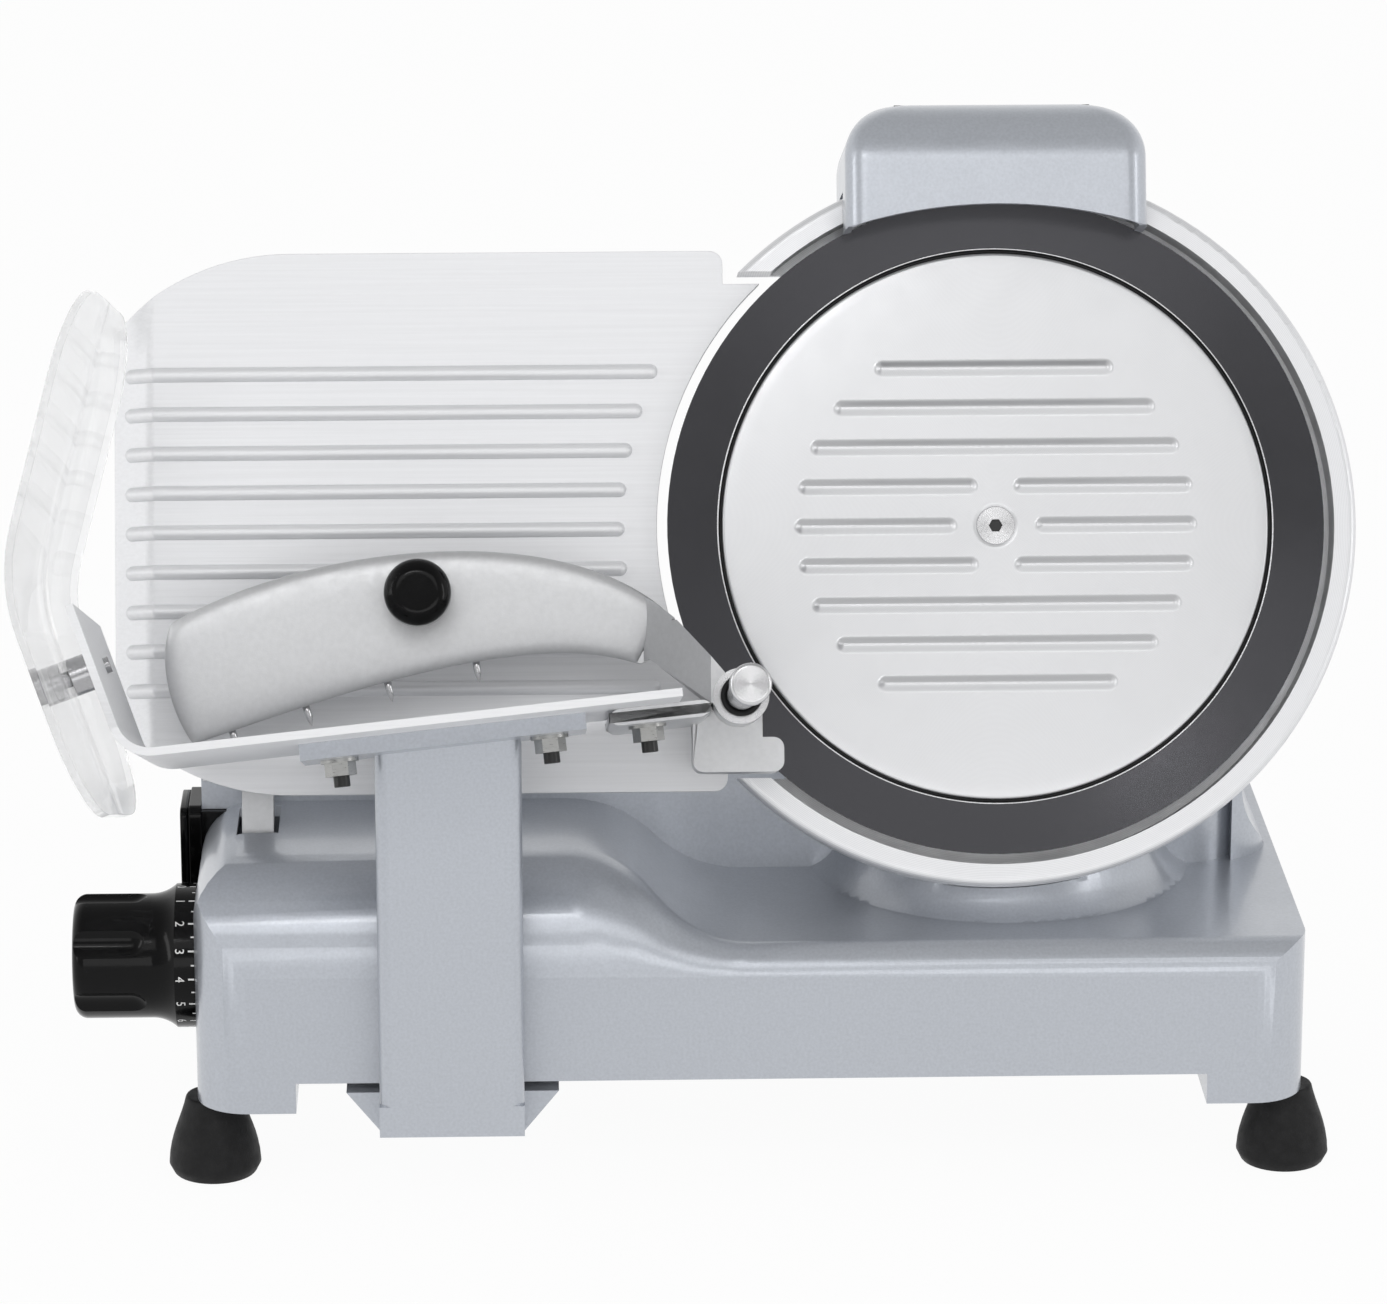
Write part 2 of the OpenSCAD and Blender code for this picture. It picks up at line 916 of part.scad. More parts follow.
module blade_bearings() {
  color([0.55, 0.56, 0.58])
    in_blade()
      for (n = bearing_at)
        slab(n, n + bearing_w)
          difference() {
            circle(bearing_r);
            circle(spindle_r + play / 2);
          }
}

module blade() {
  color([0.32, 0.32, 0.34])
    in_blade()
      difference() {
        rotate_extrude()
          polygon([
            [blade_bore, blade_seat], [step_r, blade_seat], [step_r, cover_front - 0.6],
            [blade_r, 0], [blade_r, -0.4], [step_r + 1, blade_seat - blade_t],
            [blade_bore, blade_seat - blade_t]
          ]);
        for (a = [0 : 120 : 240])
          rotate(a)
            translate([blade_bore + 7, 0, 0])
              rotate_extrude()
                polygon([
                  [0, blade_seat + 1], [screw_r + 3.4, blade_seat + 1], [screw_r + gap / 2, blade_seat - 2],
                  [screw_r + gap / 2, blade_seat - blade_t - 1], [0, blade_seat - blade_t - 1]
                ]);
      }
}

hub_r = bearing_r + 5;
hub_front = blade_seat - blade_t;

module blade_pulley() {
  color([0.5, 0.5, 0.52])
    in_blade()
      difference() {
        rotate_extrude()
          polygon([
            [bearing_r + play, hub_back], [pulley_r, hub_back],
            for (i = [0 : 4])
              for (p = [[0, 0.9], [-1.6, 1.8], [0, 2.7]])
                [pulley_r + p[0], hub_back + i * pulley_w / 5 + p[1]],
            [pulley_r, hub_back + pulley_w], [hub_r, hub_back + pulley_w],
            [hub_r, hub_front - 5], [blade_bore + 13, hub_front - 5],
            [blade_bore + 13, hub_front], [blade_bore - play, hub_front],
            [blade_bore - play, hub_front + blade_t - 0.5], [bearing_r + play, hub_front + blade_t - 0.5]
          ]);
        for (a = [0 : 120 : 240])
          rotate(a)
            translate([blade_bore + 7, 0, hub_front - 6])
              cylinder(r = screw_r + play / 2, h = 8);
      }
}

module blade_screws() {
  color([0.78, 0.78, 0.8])
    in_blade()
      for (a = [0 : 120 : 240])
        rotate(a)
          translate([blade_bore + 7, 0, 0])
            rotate_extrude()
              polygon([
                [0, blade_seat - 0.2], [screw_r + 2, blade_seat - 0.2], [screw_r, blade_seat - 2.2],
                [screw_r, hub_front - 5], [0, hub_front - 5]
              ]);
}

// Motor hung in the web behind the drum, with its shaft parallel to the spindle
module at_motor() {
  in_blade()
    translate([motor_x, motor_u, 0])
      children();
}

module motor_body() {
  color([0.3, 0.32, 0.34])
    at_motor()
      difference() {
        union() {
          slab(motor_front - motor_flange_t, motor_front)
            circle(motor_flange_r);
          slab(motor_front - motor_len, motor_front)
            circle(motor_r);
          for (a = [0 : 30 : 330])
            rotate(a)
              translate([motor_r - 1.5, 0, 0])
                slab(motor_front - motor_len + 8, motor_front - motor_flange_t - web_t - 4)
                  square([3, 2], center = true);
        }
        slab(motor_front - 30, motor_front + 1)
          circle(motor_shaft_r + play);
        for (a = [45 : 90 : 315])
          rotate(a)
            translate([motor_r + 4, 0, motor_front - motor_flange_t - 1])
              cylinder(r = screw_r - 1 + gap, h = motor_flange_t + 2);
      }
}

module motor_screws() {
  color([0.75, 0.75, 0.76])
    at_motor()
      for (a = [45 : 90 : 315])
        rotate(a)
          translate([motor_r + 4, 0, 0])
            union() {
              slab(motor_front, motor_front + 2)
                circle(screw_head_r - 1.5);
              slab(drum_back - 1, motor_front + 1)
                circle(screw_r - 1);
            }
}

module motor_shaft() {
  color([0.62, 0.62, 0.64])
    at_motor()
      slab(motor_front - 29, hub_back + pulley_w + 1)
        circle(motor_shaft_r);
}

module motor_pulley() {
  color([0.5, 0.5, 0.52])
    at_motor()
      rotate_extrude()
        polygon([
          [motor_shaft_r + play / 2, hub_back], [motor_pulley_r, hub_back],
          for (i = [0 : 4])
            for (p = [[0, 0.9], [-1.6, 1.8], [0, 2.7]])
              [motor_pulley_r + p[0], hub_back + i * pulley_w / 5 + p[1]],
          [motor_pulley_r, hub_back + pulley_w], [motor_shaft_r + play / 2, hub_back + pulley_w]
        ]);
}

// Outline of a belt round both pulleys, out from them by s
module belt_loop(s) {
  d = norm([motor_x, motor_u]);
  big = pulley_r + s;
  small = motor_pulley_r + s;
  lean = asin((big - small) / d);
  rotate(atan2(motor_u, motor_x))
    polygon(concat(
      arc([0, 0], big, 90 - lean, 270 + lean, 36),
      arc([d, 0], small, lean - 90, 90 - lean, 20)
    ));
}

module drive_belt() {
  color([0.1, 0.1, 0.1])
    in_blade()
      slab(hub_back + 1, hub_back + pulley_w - 1)
        difference() {
          belt_loop(gap / 2 + belt_t);
          belt_loop(gap / 2);
        }
}

// Frame of the dial: z runs out of the base's left wall
module at_dial() {
  translate([left, dial_y, dial_z])
    rotate([0, -90, 0])
      children();
}

flutes = 6;
flute_r = 8;
flute_depth = 2.6;
flute_len = 28;
dial_round = 5;
flare_len = 9.5;

// Knob with a numbered skirt, a hollow flare and round-ended finger flutes
module thickness_dial() {
  grip_r = dial_d / 2;
  skirt_r = skirt_d / 2;
  dial_end = skirt_t + dial_len;
  flare_step = skirt_r - grip_r;
  flare_arc = (flare_len * flare_len + flare_step * flare_step) / (2 * flare_step);
  color([0.06, 0.06, 0.06])
    at_dial()
      difference() {
        rotate_extrude()
          difference() {
            translate([0, gap])
              square([skirt_r, dial_end - gap]);
            translate([grip_r, skirt_t + flare_len])
              square([skirt_r, dial_end]);
            translate([grip_r + flare_arc, skirt_t + flare_len])
              circle(flare_arc);
            corner_cut(grip_r, dial_end, dial_round, -1);
          }
        for (a = [0 : 360 / flutes : 359])
          rotate(a)
            translate([grip_r + flute_r - flute_depth, 0, dial_end - flute_len - 2])
              rotate([0, -90, 0])
                rib(flute_r, flute_len + 2 * flute_r, flute_r);
        slab(0, dial_end - 8)
          circle(dial_shaft_r + play / 2);
      }
}

module dial_shaft() {
  color([0.62, 0.62, 0.64])
    at_dial()
      slab(-wall - cam_gap - cam_t - 3, skirt_t + dial_len - 9)
        circle(dial_shaft_r);
}

// Spiral cam: its radius grows by one millimetre for each division of the dial
function cam_r(turn) = cam_min + (turn + slice_set * turn_per_mm) / turn_per_mm;
cam_low = -slice_set * turn_per_mm;
cam_high = gauge_open * turn_per_mm;
cam_step = 7.5;
cam_dwell = 12;

module dial_cam() {
  color([0.66, 0.62, 0.5])
    along_x(left + wall + cam_gap, left + wall + cam_gap + cam_t)
      translate([dial_y, dial_z])
        difference() {
          polygon([
            cam_min * [cos(cam_low - cam_dwell - blade_tilt), sin(cam_low - cam_dwell - blade_tilt)],
            for (turn = [cam_low : cam_step : cam_high])
              cam_r(turn) * [cos(turn - blade_tilt), sin(turn - blade_tilt)]
          ]);
          circle(dial_shaft_r + play / 2);
        }
}

// Outline of the gauge plate: round left corners, a hollow for the blade, stepped right corners
module gauge_outline() {
  tip = gauge_step - 2;
  step_x = -(gauge_arc - 26);
  difference() {
    translate([-gauge_left, -gauge_down])
      square([gauge_left - 60, gauge_down + gauge_up]);
    circle(gauge_arc);
    translate([step_x, tip])
      square([100, 100]);
    translate([step_x, -tip - 100])
      square([100, 100]);
    corner_at = -gauge_left + 67;
    difference() {
      translate([-gauge_left - 1, gauge_up - gauge_corner])
        square([corner_at + gauge_left + 1, gauge_corner + 1]);
      translate([corner_at, gauge_up - gauge_corner])
        circle(gauge_corner);
      translate([-gauge_left - 1, -gauge_down - 1])
        square([2 * gauge_corner, gauge_down + gauge_up - gauge_corner + 1]);
    }
    difference() {
      translate([-gauge_left - 1, -gauge_down - 1])
        square([corner_at + gauge_left + 1, gauge_corner]);
      translate([corner_at, -gauge_down + gauge_corner])
        circle(gauge_corner);
    }
  }
}

// Section of the plate seen from above: its left edge is bent back
module gauge_section() {
  fold = -gauge_left + bend_w;
  drop = bend_w * tan(bend_angle);
  polygon([
    [0, gauge_front], [fold, gauge_front], [-gauge_left - 1, gauge_front - drop],
    [-gauge_left - 1, gauge_back - drop], [fold - gauge_t * tan(bend_angle / 2), gauge_back], [0, gauge_back]
  ]);
}

module gauge_plate() {
  fold = -gauge_left + bend_w;
  rib_end = gauge_arc + 15;
  color([0.82, 0.83, 0.84])
    in_blade()
      difference() {
        union() {
          intersection() {
            slab(gauge_back - 2 * bend_w, gauge_front)
              gauge_outline();
            translate([0, gauge_up, 0])
              rotate([90, 0, 0])
                linear_extrude(gauge_up + gauge_down)
                  gauge_section();
          }
          for (i = [-(rib_count - 1) / 2 : (rib_count - 1) / 2]) {
            y = i * rib_pitch;
            translate([0, y, gauge_front]) {
              rib(fold, -sqrt(rib_end * rib_end - y * y), rib_r);
              translate([fold, 0, 0])
                rotate([0, -bend_angle, 0])
                  rib(-bend_w * 0.7, 0, rib_r);
            }
          }
        }
        for (sx = [-1, 1])
          translate([guide_x + sx * 14, arm_top - 20, gauge_back - 1])
            cylinder(r = screw_r - 0.5 + play / 2, h = gauge_t - 1);
      }
}

pin_n = dial_n - cam_r(0) - pin_r - gap;
flange_t = 6;

module gauge_arm() {
  color([0.7, 0.71, 0.72])
    in_blade()
      difference() {
        union() {
          translate([guide_x, guide_u, sleeve_front - sleeve_len])
            cylinder(r = sleeve_r, h = sleeve_len);
          block([guide_x - arm_t / 2, guide_u, arm_back], [guide_x + arm_t / 2, arm_top, arm_front]);
          block(
            [guide_x - arm_t / 2, arm_top - 38, arm_back],
            [guide_x + arm_t / 2, arm_top, gauge_back - flange_t + 1]
          );
          block(
            [guide_x - 20, arm_top - 38, gauge_back - flange_t],
            [guide_x + 20, arm_top, gauge_back]
          );
          // Lug and follower pin that the cam pushes
          block(
            [guide_x - 9, dial_u - 5, pin_n - 5],
            [guide_x - 1, guide_u - guide_r - 1, pin_n + 5]
          );
          translate([left + wall + cam_gap - blade_x, dial_u, pin_n])
            rotate([0, 90, 0])
              cylinder(r = pin_r, h = guide_x - 5 - (left + wall + cam_gap - blade_x));
        }
        translate([guide_x, guide_u, sleeve_front - sleeve_len - 1])
          cylinder(r = guide_r + play, h = sleeve_len + 40);
        for (sx = [-1, 1])
          translate([guide_x + sx * 14, arm_top - 20, gauge_back - flange_t - 1])
            cylinder(r = screw_r - 0.5 + gap, h = flange_t + 2);
      }
}

module gauge_screws() {
  color([0.75, 0.75, 0.76])
    in_blade()
      for (sx = [-1, 1])
        translate([guide_x + sx * 14, arm_top - 20, 0])
          union() {
            slab(gauge_back - flange_t - 3, gauge_back - flange_t)
              circle(screw_head_r - 0.5);
            slab(gauge_back - flange_t - 1, gauge_front - 3)
              circle(screw_r - 0.5);
          }
}

module gauge_slide_bar() {
  color([0.68, 0.69, 0.71])
    in_blade()
      translate([guide_x, guide_u, 0])
        slab(guide_back - 2, guide_front + 2)
          circle(guide_r);
}

module slide_rod() {
  color([0.7, 0.71, 0.73])
    along_x(left + wall + gap, right - wall - gap)
      translate([slide_y, slide_z])
        circle(slide_d / 2);
}

module guide_rail() {
  color([0.62, 0.63, 0.65])
    block([left + pad_w / 2, rail_y, rail_z], [right - pad_w / 2, rail_y + rail_w, rail_z + rail_h]);
}

// Frame of the tray: x up the floor, y off the floor, z along the blade's axis
module in_tray() {
  in_blade()
    translate([tray_x, tray_u, 0])
      rotate(tray_rise)
        children();
}

// Frame of the tray's end wall: x out of the tray, -y up the wall
module in_wall() {
  in_tray()
    translate([0, tray_bend, 0])
      rotate(270 - tray_turn)
        children();
}

module product_tray() {
  reach = 4 * tray_bend;
  color([0.8, 0.81, 0.82]) {
    difference() {
      union() {
        in_tray()
          slab(tray_gap, tray_gap + tray_d) {
            translate([0, -tray_t])
              square([tray_w, tray_t]);
            translate([0, tray_bend])
              intersection() {
                difference() {
                  circle(tray_bend + tray_t);
                  circle(tray_bend);
                }
                polygon([
                  [0, 0], reach * [cos(270 - tray_turn), sin(270 - tray_turn)],
                  1.5 * reach * [cos(270 - tray_turn / 2), sin(270 - tray_turn / 2)], [0, -reach]
                ]);
              }
          }
        in_wall()
          slab(tray_gap, tray_gap + tray_d)
            translate([tray_bend, -tray_wall_h])
              square([tray_t, tray_wall_h]);
      }
      in_tray()
        for (x = bolt_at)
          translate([x, 0, plate_n])
            rotate([90, 0, 0])
              translate([0, 0, -1])
                cylinder(r = bolt_r + gap / 2, h = tray_t + 2);
      in_wall()
        translate([0, -stud_up, stud_n])
          rotate([0, 90, 0])
            cylinder(r = bolt_r + gap / 2, h = 2 * tray_bend);
    }
  }
}

// Bolts with flat heads on the tray's floor
module tray_bolts() {
  color([0.78, 0.79, 0.8])
    in_tray()
      for (x = bolt_at)
        translate([x, 0, plate_n])
          rotate([90, 0, 0])
            union() {
              translate([0, 0, -1.6])
                cylinder(r1 = bolt_r + 1.5, r2 = bolt_r + 3, h = 1.6);
              cylinder(r = bolt_r, h = tray_t + plate_t + washer_t + nut_h + 4);
            }
}

module tray_nuts() {
  color([0.74, 0.74, 0.73])
    in_tray()
      for (x = bolt_at)
        translate([x, 0, plate_n])
          rotate([90, 0, 0])
            difference() {
              union() {
                translate([0, 0, tray_t + plate_t])
                  cylinder(r = washer_r, h = washer_t);
                translate([0, 0, tray_t + plate_t + washer_t - eps])
                  cylinder(r = nut_r, h = nut_h, $fn = 6);
              }
              cylinder(r = bolt_r + play / 2, h = 40);
            }
}

// Column in front of the base, its flange under the tray and its arm under the base
module carriage_column() {
  half = column_w / 2;
  color([0.73, 0.74, 0.75])
    difference() {
      union() {
        difference() {
          translate([column_x, column_front + column_d / 2, column_foot])
            linear_extrude(blade_z)
              round_rect(column_w, column_d, 5);
          in_tray()
            block([-200, -tray_t - plate_t + 1, -300], [400, 400, 400]);
        }
        in_tray()
          block(
            [tray_w - plate_end - plate_w, -tray_t - plate_t, plate_n - plate_d / 2],
            [tray_w - plate_end, -tray_t, plate_n + plate_d / 2]
          );
        along_y(front - 2, slider_back)
          translate([column_x, 0])
            polygon([
              [-slider_w / 2, slider_z], [-half, arm_under], [half, arm_under], [slider_w / 2, slider_z]
            ]);
        along_x(column_x - half, column_x + half)
          polygon([
            [column_front, column_foot + 12], [column_front, column_foot], [front, arm_under],
            [front, slider_z], [front - column_gap, slider_z], [front - column_gap, column_foot + 12]
          ]);
      }
      in_tray()
        for (x = bolt_at)
          translate([x, 0, plate_n])
            rotate([90, 0, 0])
              cylinder(r = bolt_r + gap / 2, h = 60);
      for (sx = [-1, 1])
        translate([column_x + sx * 18, slide_y - 24, arm_under - 1])
          cylinder(r = screw_r + gap, h = 40);
    }
}

slider_top = slide_z + slide_d / 2 + bush_wall + 4;
tongue_t = 10;

module slider_block() {
  bush_out = slide_d / 2 + bush_wall;
  pin_z = rail_z + rail_h + roller_r + gap;
  color([0.6, 0.61, 0.63])
    difference() {
      union() {
        block(
          [column_x - slider_w / 2, slide_y - 16, slider_z],
          [column_x + slider_w / 2, slider_back, slider_top]
        );
        block(
          [column_x - slider_w / 2, slider_front, slider_z],
          [column_x + slider_w / 2, slide_y - 15, slider_z + tongue_t]
        );
        block([column_x - 10, slider_front, slider_z], [column_x + 10, slider_front + 8, pin_z + 9]);
      }
      along_x(column_x - slider_w, column_x + slider_w)
        translate([slide_y, slide_z])
          circle(bush_out + play / 2);
      translate([column_x, slider_front - 1, pin_z])
        rotate([-90, 0, 0])
          cylinder(r = 3 + play / 2, h = 10);
      for (sx = [-1, 1])
        translate([column_x + sx * 18, slide_y - 24, slider_z - 1])
          cylinder(r = screw_r + play / 2, h = tongue_t);
    }
}

module slider_bushings() {
  color([0.62, 0.5, 0.28])
    for (x = [column_x - slider_w / 2, column_x + slider_w / 2 - bush_w])
      along_x(x, x + bush_w)
        translate([slide_y, slide_z])
          difference() {
            circle(slide_d / 2 + bush_wall);
            circle(slide_d / 2 + play);
          }
}

module slider_screws() {
  color([0.75, 0.75, 0.76])
    for (sx = [-1, 1])
      translate([column_x + sx * 18, slide_y - 24, arm_under - 3])
        union() {
          cylinder(r = screw_head_r, h = 3);
          cylinder(r = screw_r, h = slider_z - arm_under + tongue_t);
        }
}

module at_roller() {
  translate([column_x, rail_y, rail_z + rail_h + roller_r + gap])
    rotate([-90, 0, 0])
      children();
}

module guide_roller() {
  color([0.2, 0.2, 0.22])
    at_roller()
      slab(gap, rail_w - gap)
        difference() {
          circle(roller_r);
          circle(3 + play);
        }
}

module roller_pin() {
  color([0.72, 0.72, 0.74])
    at_roller()
      union() {
        slab(-1.5, 0)
          circle(5);
        slab(-1, slider_front - rail_y + 7)
          circle(3);
        slab(rail_w + gap, slider_front - rail_y)
          circle(5);
      }
}

// Frame of the pusher's rod: z along the rod
module at_rod() {
  in_blade()
    translate([rod_x, rod_u, 0])
      children();
}

// Cast bracket that holds the rod and reaches under the tray
module rod_bracket() {
  color([0.66, 0.67, 0.66])
    difference() {
      union() {
        at_rod()
          slab(bracket_n, bracket_n + bracket_d)
            difference() {
              union() {
                circle(rod_d / 2 + 5);
                translate([-bracket_half, -27])
                  square([2 * bracket_half, 27]);
              }
              translate([bracket_half - 8, -14])
                square([9, 15]);
            }
        in_tray()
          block(
            [tray_w - 26, -tray_t - plate_t, bracket_n],
            [tray_w + 12, -tray_t, plate_n + 20]
          );
      }
      in_tray()
        translate([bolt_at[2], 0, plate_n])
          rotate([90, 0, 0])
            cylinder(r = bolt_r + gap / 2, h = 60);
      at_rod()
        slab(bracket_n - 1, bracket_n + bracket_d + 1)
          circle(rod_d / 2 + play / 2);
      at_rod()
        slab(bracket_n + bracket_d, bracket_n + rod_len)
          circle(boss_r + gap + 1);
    }
}

module pusher_rod() {
  color([0.78, 0.79, 0.8])
    at_rod()
      slab(rod_n, rod_n + rod_len)
        circle(rod_d / 2);
}

module rod_end_cap() {
  color([0.75, 0.76, 0.77])
    at_rod()
      difference() {
        translate([0, 0, rod_n + rod_len - 4])
          rotate_extrude()
            difference() {
              square([cap_r, cap_h]);
              corner_cut(cap_r, cap_h, 1.5, -1);
            }
        slab(rod_n, rod_n + rod_len)
          circle(rod_d / 2 + play / 2);
      }
}

// Sleeve that slides on the rod; its collars keep the arm on it
module pusher_bush() {
  color([0.15, 0.15, 0.16])
    at_rod()
      difference() {
        union() {
          slab(bush_n, bush_n + bush_len)
            circle(bush_r);
          slab(bush_n, bush_n + collar_t)
            circle(boss_r);
          slab(bush_n + bush_len - collar_t, bush_n + bush_len)
            circle(boss_r);
        }
        slab(bush_n - 1, bush_n + bush_len + 1)
          circle(rod_d / 2 + play);
      }
}

// Upper and lower edge of the pusher, from the rod's axis to just short of the tray's end wall
press_tip = -tray_w - 23;
press_upper = curve([press_tip, 30], [press_tip + 56, 62], [-50, 70], [-18, 23], 18);
press_lower = curve([-36, 14], [-80, 30], [press_tip + 51, 0], [press_tip + 8, -14], 18);
press_end = curve([press_tip + 8, -14], [press_tip, -3], [press_tip - 5, 16], [press_tip, 30], 6);

module pusher_arm() {
  boss_n0 = bush_n + collar_t + gap / 2;
  boss_n1 = bush_n + bush_len - collar_t - gap / 2;
  color([0.7, 0.71, 0.71])
    at_rod()
      difference() {
        union() {
          slab(press_n, press_n + press_t)
            intersection() {
              polygon(concat(press_upper, press_lower, press_end));
              translate([-300, -100])
                square([300 - neck_in, 300]);
            }
          slab(press_n, boss_n0 + 6)
            intersection() {
              polygon(concat(press_upper, press_lower));
              translate([-neck_in - 12, -100])
                square([12, 300]);
            }
          slab(boss_n0, boss_n1) {
            circle(boss_r);
            polygon([
              [-neck_in - 12, 20], [-neck_in, 31], [-6, 9], [0, -6], [-9, -4], [-neck_in - 12, 17]
            ]);
          }
        }
        slab(boss_n0 - 1, boss_n1 + 1)
          circle(bush_r + play);
        translate([knob_at[0], knob_at[1], press_n - 1])
          cylinder(r = bolt_r + play / 2, h = press_t + 2);
      }
}

module pusher_spikes() {
  color([0.8, 0.8, 0.81])
    at_rod()
      for (i = [4, 7, 11, 15])
        translate([press_lower[i][0], press_lower[i][1] + spike_r, press_n - spike_len])
          cylinder(r1 = 0.5, r2 = spike_r, h = spike_len);
}

module pusher_knob() {
  kr = knob_d / 2;
  color([0.05, 0.05, 0.05])
    at_rod()
      translate([knob_at[0], knob_at[1], press_n + press_t])
        union() {
          rotate_extrude()
            difference() {
              union() {
                square([kr * 0.62, knob_h - 2]);
                translate([0, knob_h * 0.45])
                  square([kr, knob_h * 0.55]);
              }
              corner_cut(kr, knob_h, 6, -1);
            }
          translate([0, 0, -press_t])
            cylinder(r = bolt_r, h = press_t + 1);
        }
}

// Clear guard: one sheet with a fold, its upper leaf leaning over the tray
module hand_guard() {
  near = tray_bend + tray_t + guard_off;
  mid_n = (guard_n0 + guard_n1) / 2;
  half = (guard_n1 - guard_n0) / 2;
  fold = [near + guard_t, -guard_up];
  tip = fold - guard_top * [sin(guard_turn), cos(guard_turn)];
  inner_tip = tip + guard_t * [-cos(guard_turn), sin(guard_turn)];
  inner_fold = [near, inner_tip[1] + (near - inner_tip[0]) / tan(guard_turn)];
  color([0.8, 0.85, 0.88, 0.4])
    in_wall()
      difference() {
        slab(guard_n0, guard_n1)
          polygon([
            [near, guard_down], [near + guard_t, guard_down], fold, tip, inner_tip, inner_fold
          ]);
        // Round upper corners
        translate([fold[0], fold[1], mid_n])
          rotate(-guard_turn)
            for (side = [-1, 1])
              translate([-2 * guard_t, 0, 0])
                rotate([0, 90, 0])
                  linear_extrude(3 * guard_t)
                    polygon(concat(
                      [[side * (half + 1), -guard_top - 1]],
                      arc(
                        [side * (half - guard_round), guard_round - guard_top],
                        guard_round, -90, side > 0 ? 0 : -180, 12
                      ),
                      [[side * (half + 1), guard_round - guard_top]]
                    ));
        translate([0, -stud_up, stud_n])
          rotate([0, 90, 0])
            cylinder(r = bolt_r + gap / 2, h = 100);
      }
}

// Stud through the tray's wall, with a spacer and a round head outside the guard
module guard_stud() {
  outer = tray_bend + tray_t;
  color([0.72, 0.73, 0.74])
    in_wall()
      translate([0, -stud_up, stud_n])
        rotate([0, 90, 0])
          union() {
            slab(outer, outer + guard_off)
              circle(stud_r);
            slab(tray_bend - 2, outer + guard_off + guard_t + 3)
              circle(bolt_r);
            slab(outer + guard_off + guard_t, outer + guard_off + guard_t + 8)
              circle(stud_r);
          }
}

// Post behind the guard ring that the sharpener lifts on
module sharpener_post() {
  color([0.74, 0.75, 0.76])
    in_blade()
      union() {
        block([-14, post_foot, post_n - 7], [14, post_foot + 16, ring_back]);
        translate([0, post_foot + 1, post_n])
          rotate([-90, 0, 0])
            cylinder(r = post_r, h = post_top - post_foot - 1);
      }
}

// Outer form of the sharpener's cover, set in by s
module hood_form(s) {
  base_u = hood_top - hood_h;
  intersection() {
    slab(hood_back + s, hood_front - s)
      difference() {
        translate([-hood_w / 2 + s, base_u - s])
          square([hood_w - 2 * s, hood_h]);
        for (side = [-1, 1])
          corner_cut(-side * (hood_w / 2 - s), hood_top - s, hood_corner - s, side);
      }
    translate([-hood_w / 2, 0, 0])
      rotate([0, 90, 0])
        linear_extrude(hood_w)
          difference() {
            translate([-hood_front + s, base_u - s])
              square([hood_d - 2 * s, hood_h]);
            corner_cut(-hood_front + s, hood_top - s, hood_fillet - s, 1);
            corner_cut(-hood_back - s, hood_top - s, hood_fillet / 3 - s / 3, -1);
          }
  }
}

hood_arch = 190;
hood_rise = 8.5;

module sharpener_cover() {
  base_u = hood_top - hood_h;
  color([0.73, 0.74, 0.75])
    in_blade()
      difference() {
        hood_form(0);
        hood_form(hood_wall);
        // Arched lower edge at the front
        translate([0, base_u + hood_rise - hood_arch, 0])
          cylinder(r = hood_arch, h = hood_front + 1);
        // Room for the ring, the blade and the post
        slab(ring_back - 2, rim_front + 2)
          circle(ring_r + 2);
        block([-20, base_u - 10, hood_back - 1], [20, hood_top - 16, ring_back]);
        for (sx = [-1, 1])
          translate([sx * stone_x, stone_u, hood_back - 1])
            cylinder(r = pin_spindle_r + gap, h = hood_wall + 2);
      }
}

frame_top = hood_top - hood_wall;
frame_step = 8;
frame_low = frame_top - frame_step;
frame_w = 69;
frame_back = hood_back + hood_wall + 2;
sleeve_top = hood_top - 17;
frame_front = hood_front - hood_fillet - 1;

module sharpener_frame() {
  color([0.55, 0.56, 0.57])
    in_blade()
      difference() {
        union() {
          block([-frame_w / 2, ring_r + 3, frame_back], [frame_w / 2, frame_low, frame_front]);
          block([-frame_w / 2, ring_r + 3, frame_back + frame_step], [frame_w / 2, frame_top, frame_front]);
          translate([0, sleeve_low, post_n])
            rotate([-90, 0, 0])
              cylinder(r = post_r + 4, h = sleeve_top - sleeve_low);
        }
        translate([0, sleeve_low - 1, post_n])
          rotate([-90, 0, 0])
            cylinder(r = post_r + play, h = post_top - sleeve_low + 2);
        for (sx = [-1, 1])
          translate([sx * stone_x, stone_u, hood_back])
            cylinder(r = pin_spindle_r + play, h = hood_d);
        // Pocket of the stone behind the ring
        translate([stone_x, stone_u, ring_back - stone_t - press - 4])
          cylinder(r = stone_r + 2, h = stone_t + press + 4);
      }
}

// Push button and its spindle, out of the back of the cover
module stone_button(reach) {
  union() {
    slab(hood_back - 9, hood_back - press - 1) {
      circle(7);
    }
    slab(hood_back - 6, reach)
      circle(pin_spindle_r);
  }
}

module grinding_button() {
  color([0.08, 0.08, 0.08])
    in_blade()
      translate([-stone_x, stone_u, 0])
        stone_button(frame_front + 1 + stone_t);
}

module honing_button() {
  color([0.08, 0.08, 0.08])
    in_blade()
      translate([stone_x, stone_u, 0])
        stone_button(ring_back - press - 2);
}

module stone(n0) {
  slab(n0, n0 + stone_t)
    difference() {
      circle(stone_r);
      circle(pin_spindle_r + play);
    }
}

module grinding_stone() {
  color([0.45, 0.36, 0.32])
    in_blade()
      translate([-stone_x, stone_u, 0])
        stone(frame_front + 1);
}

module honing_stone() {
  color([0.62, 0.6, 0.56])
    in_blade()
      translate([stone_x, stone_u, 0])
        stone(ring_back - press - stone_t - 2);
}

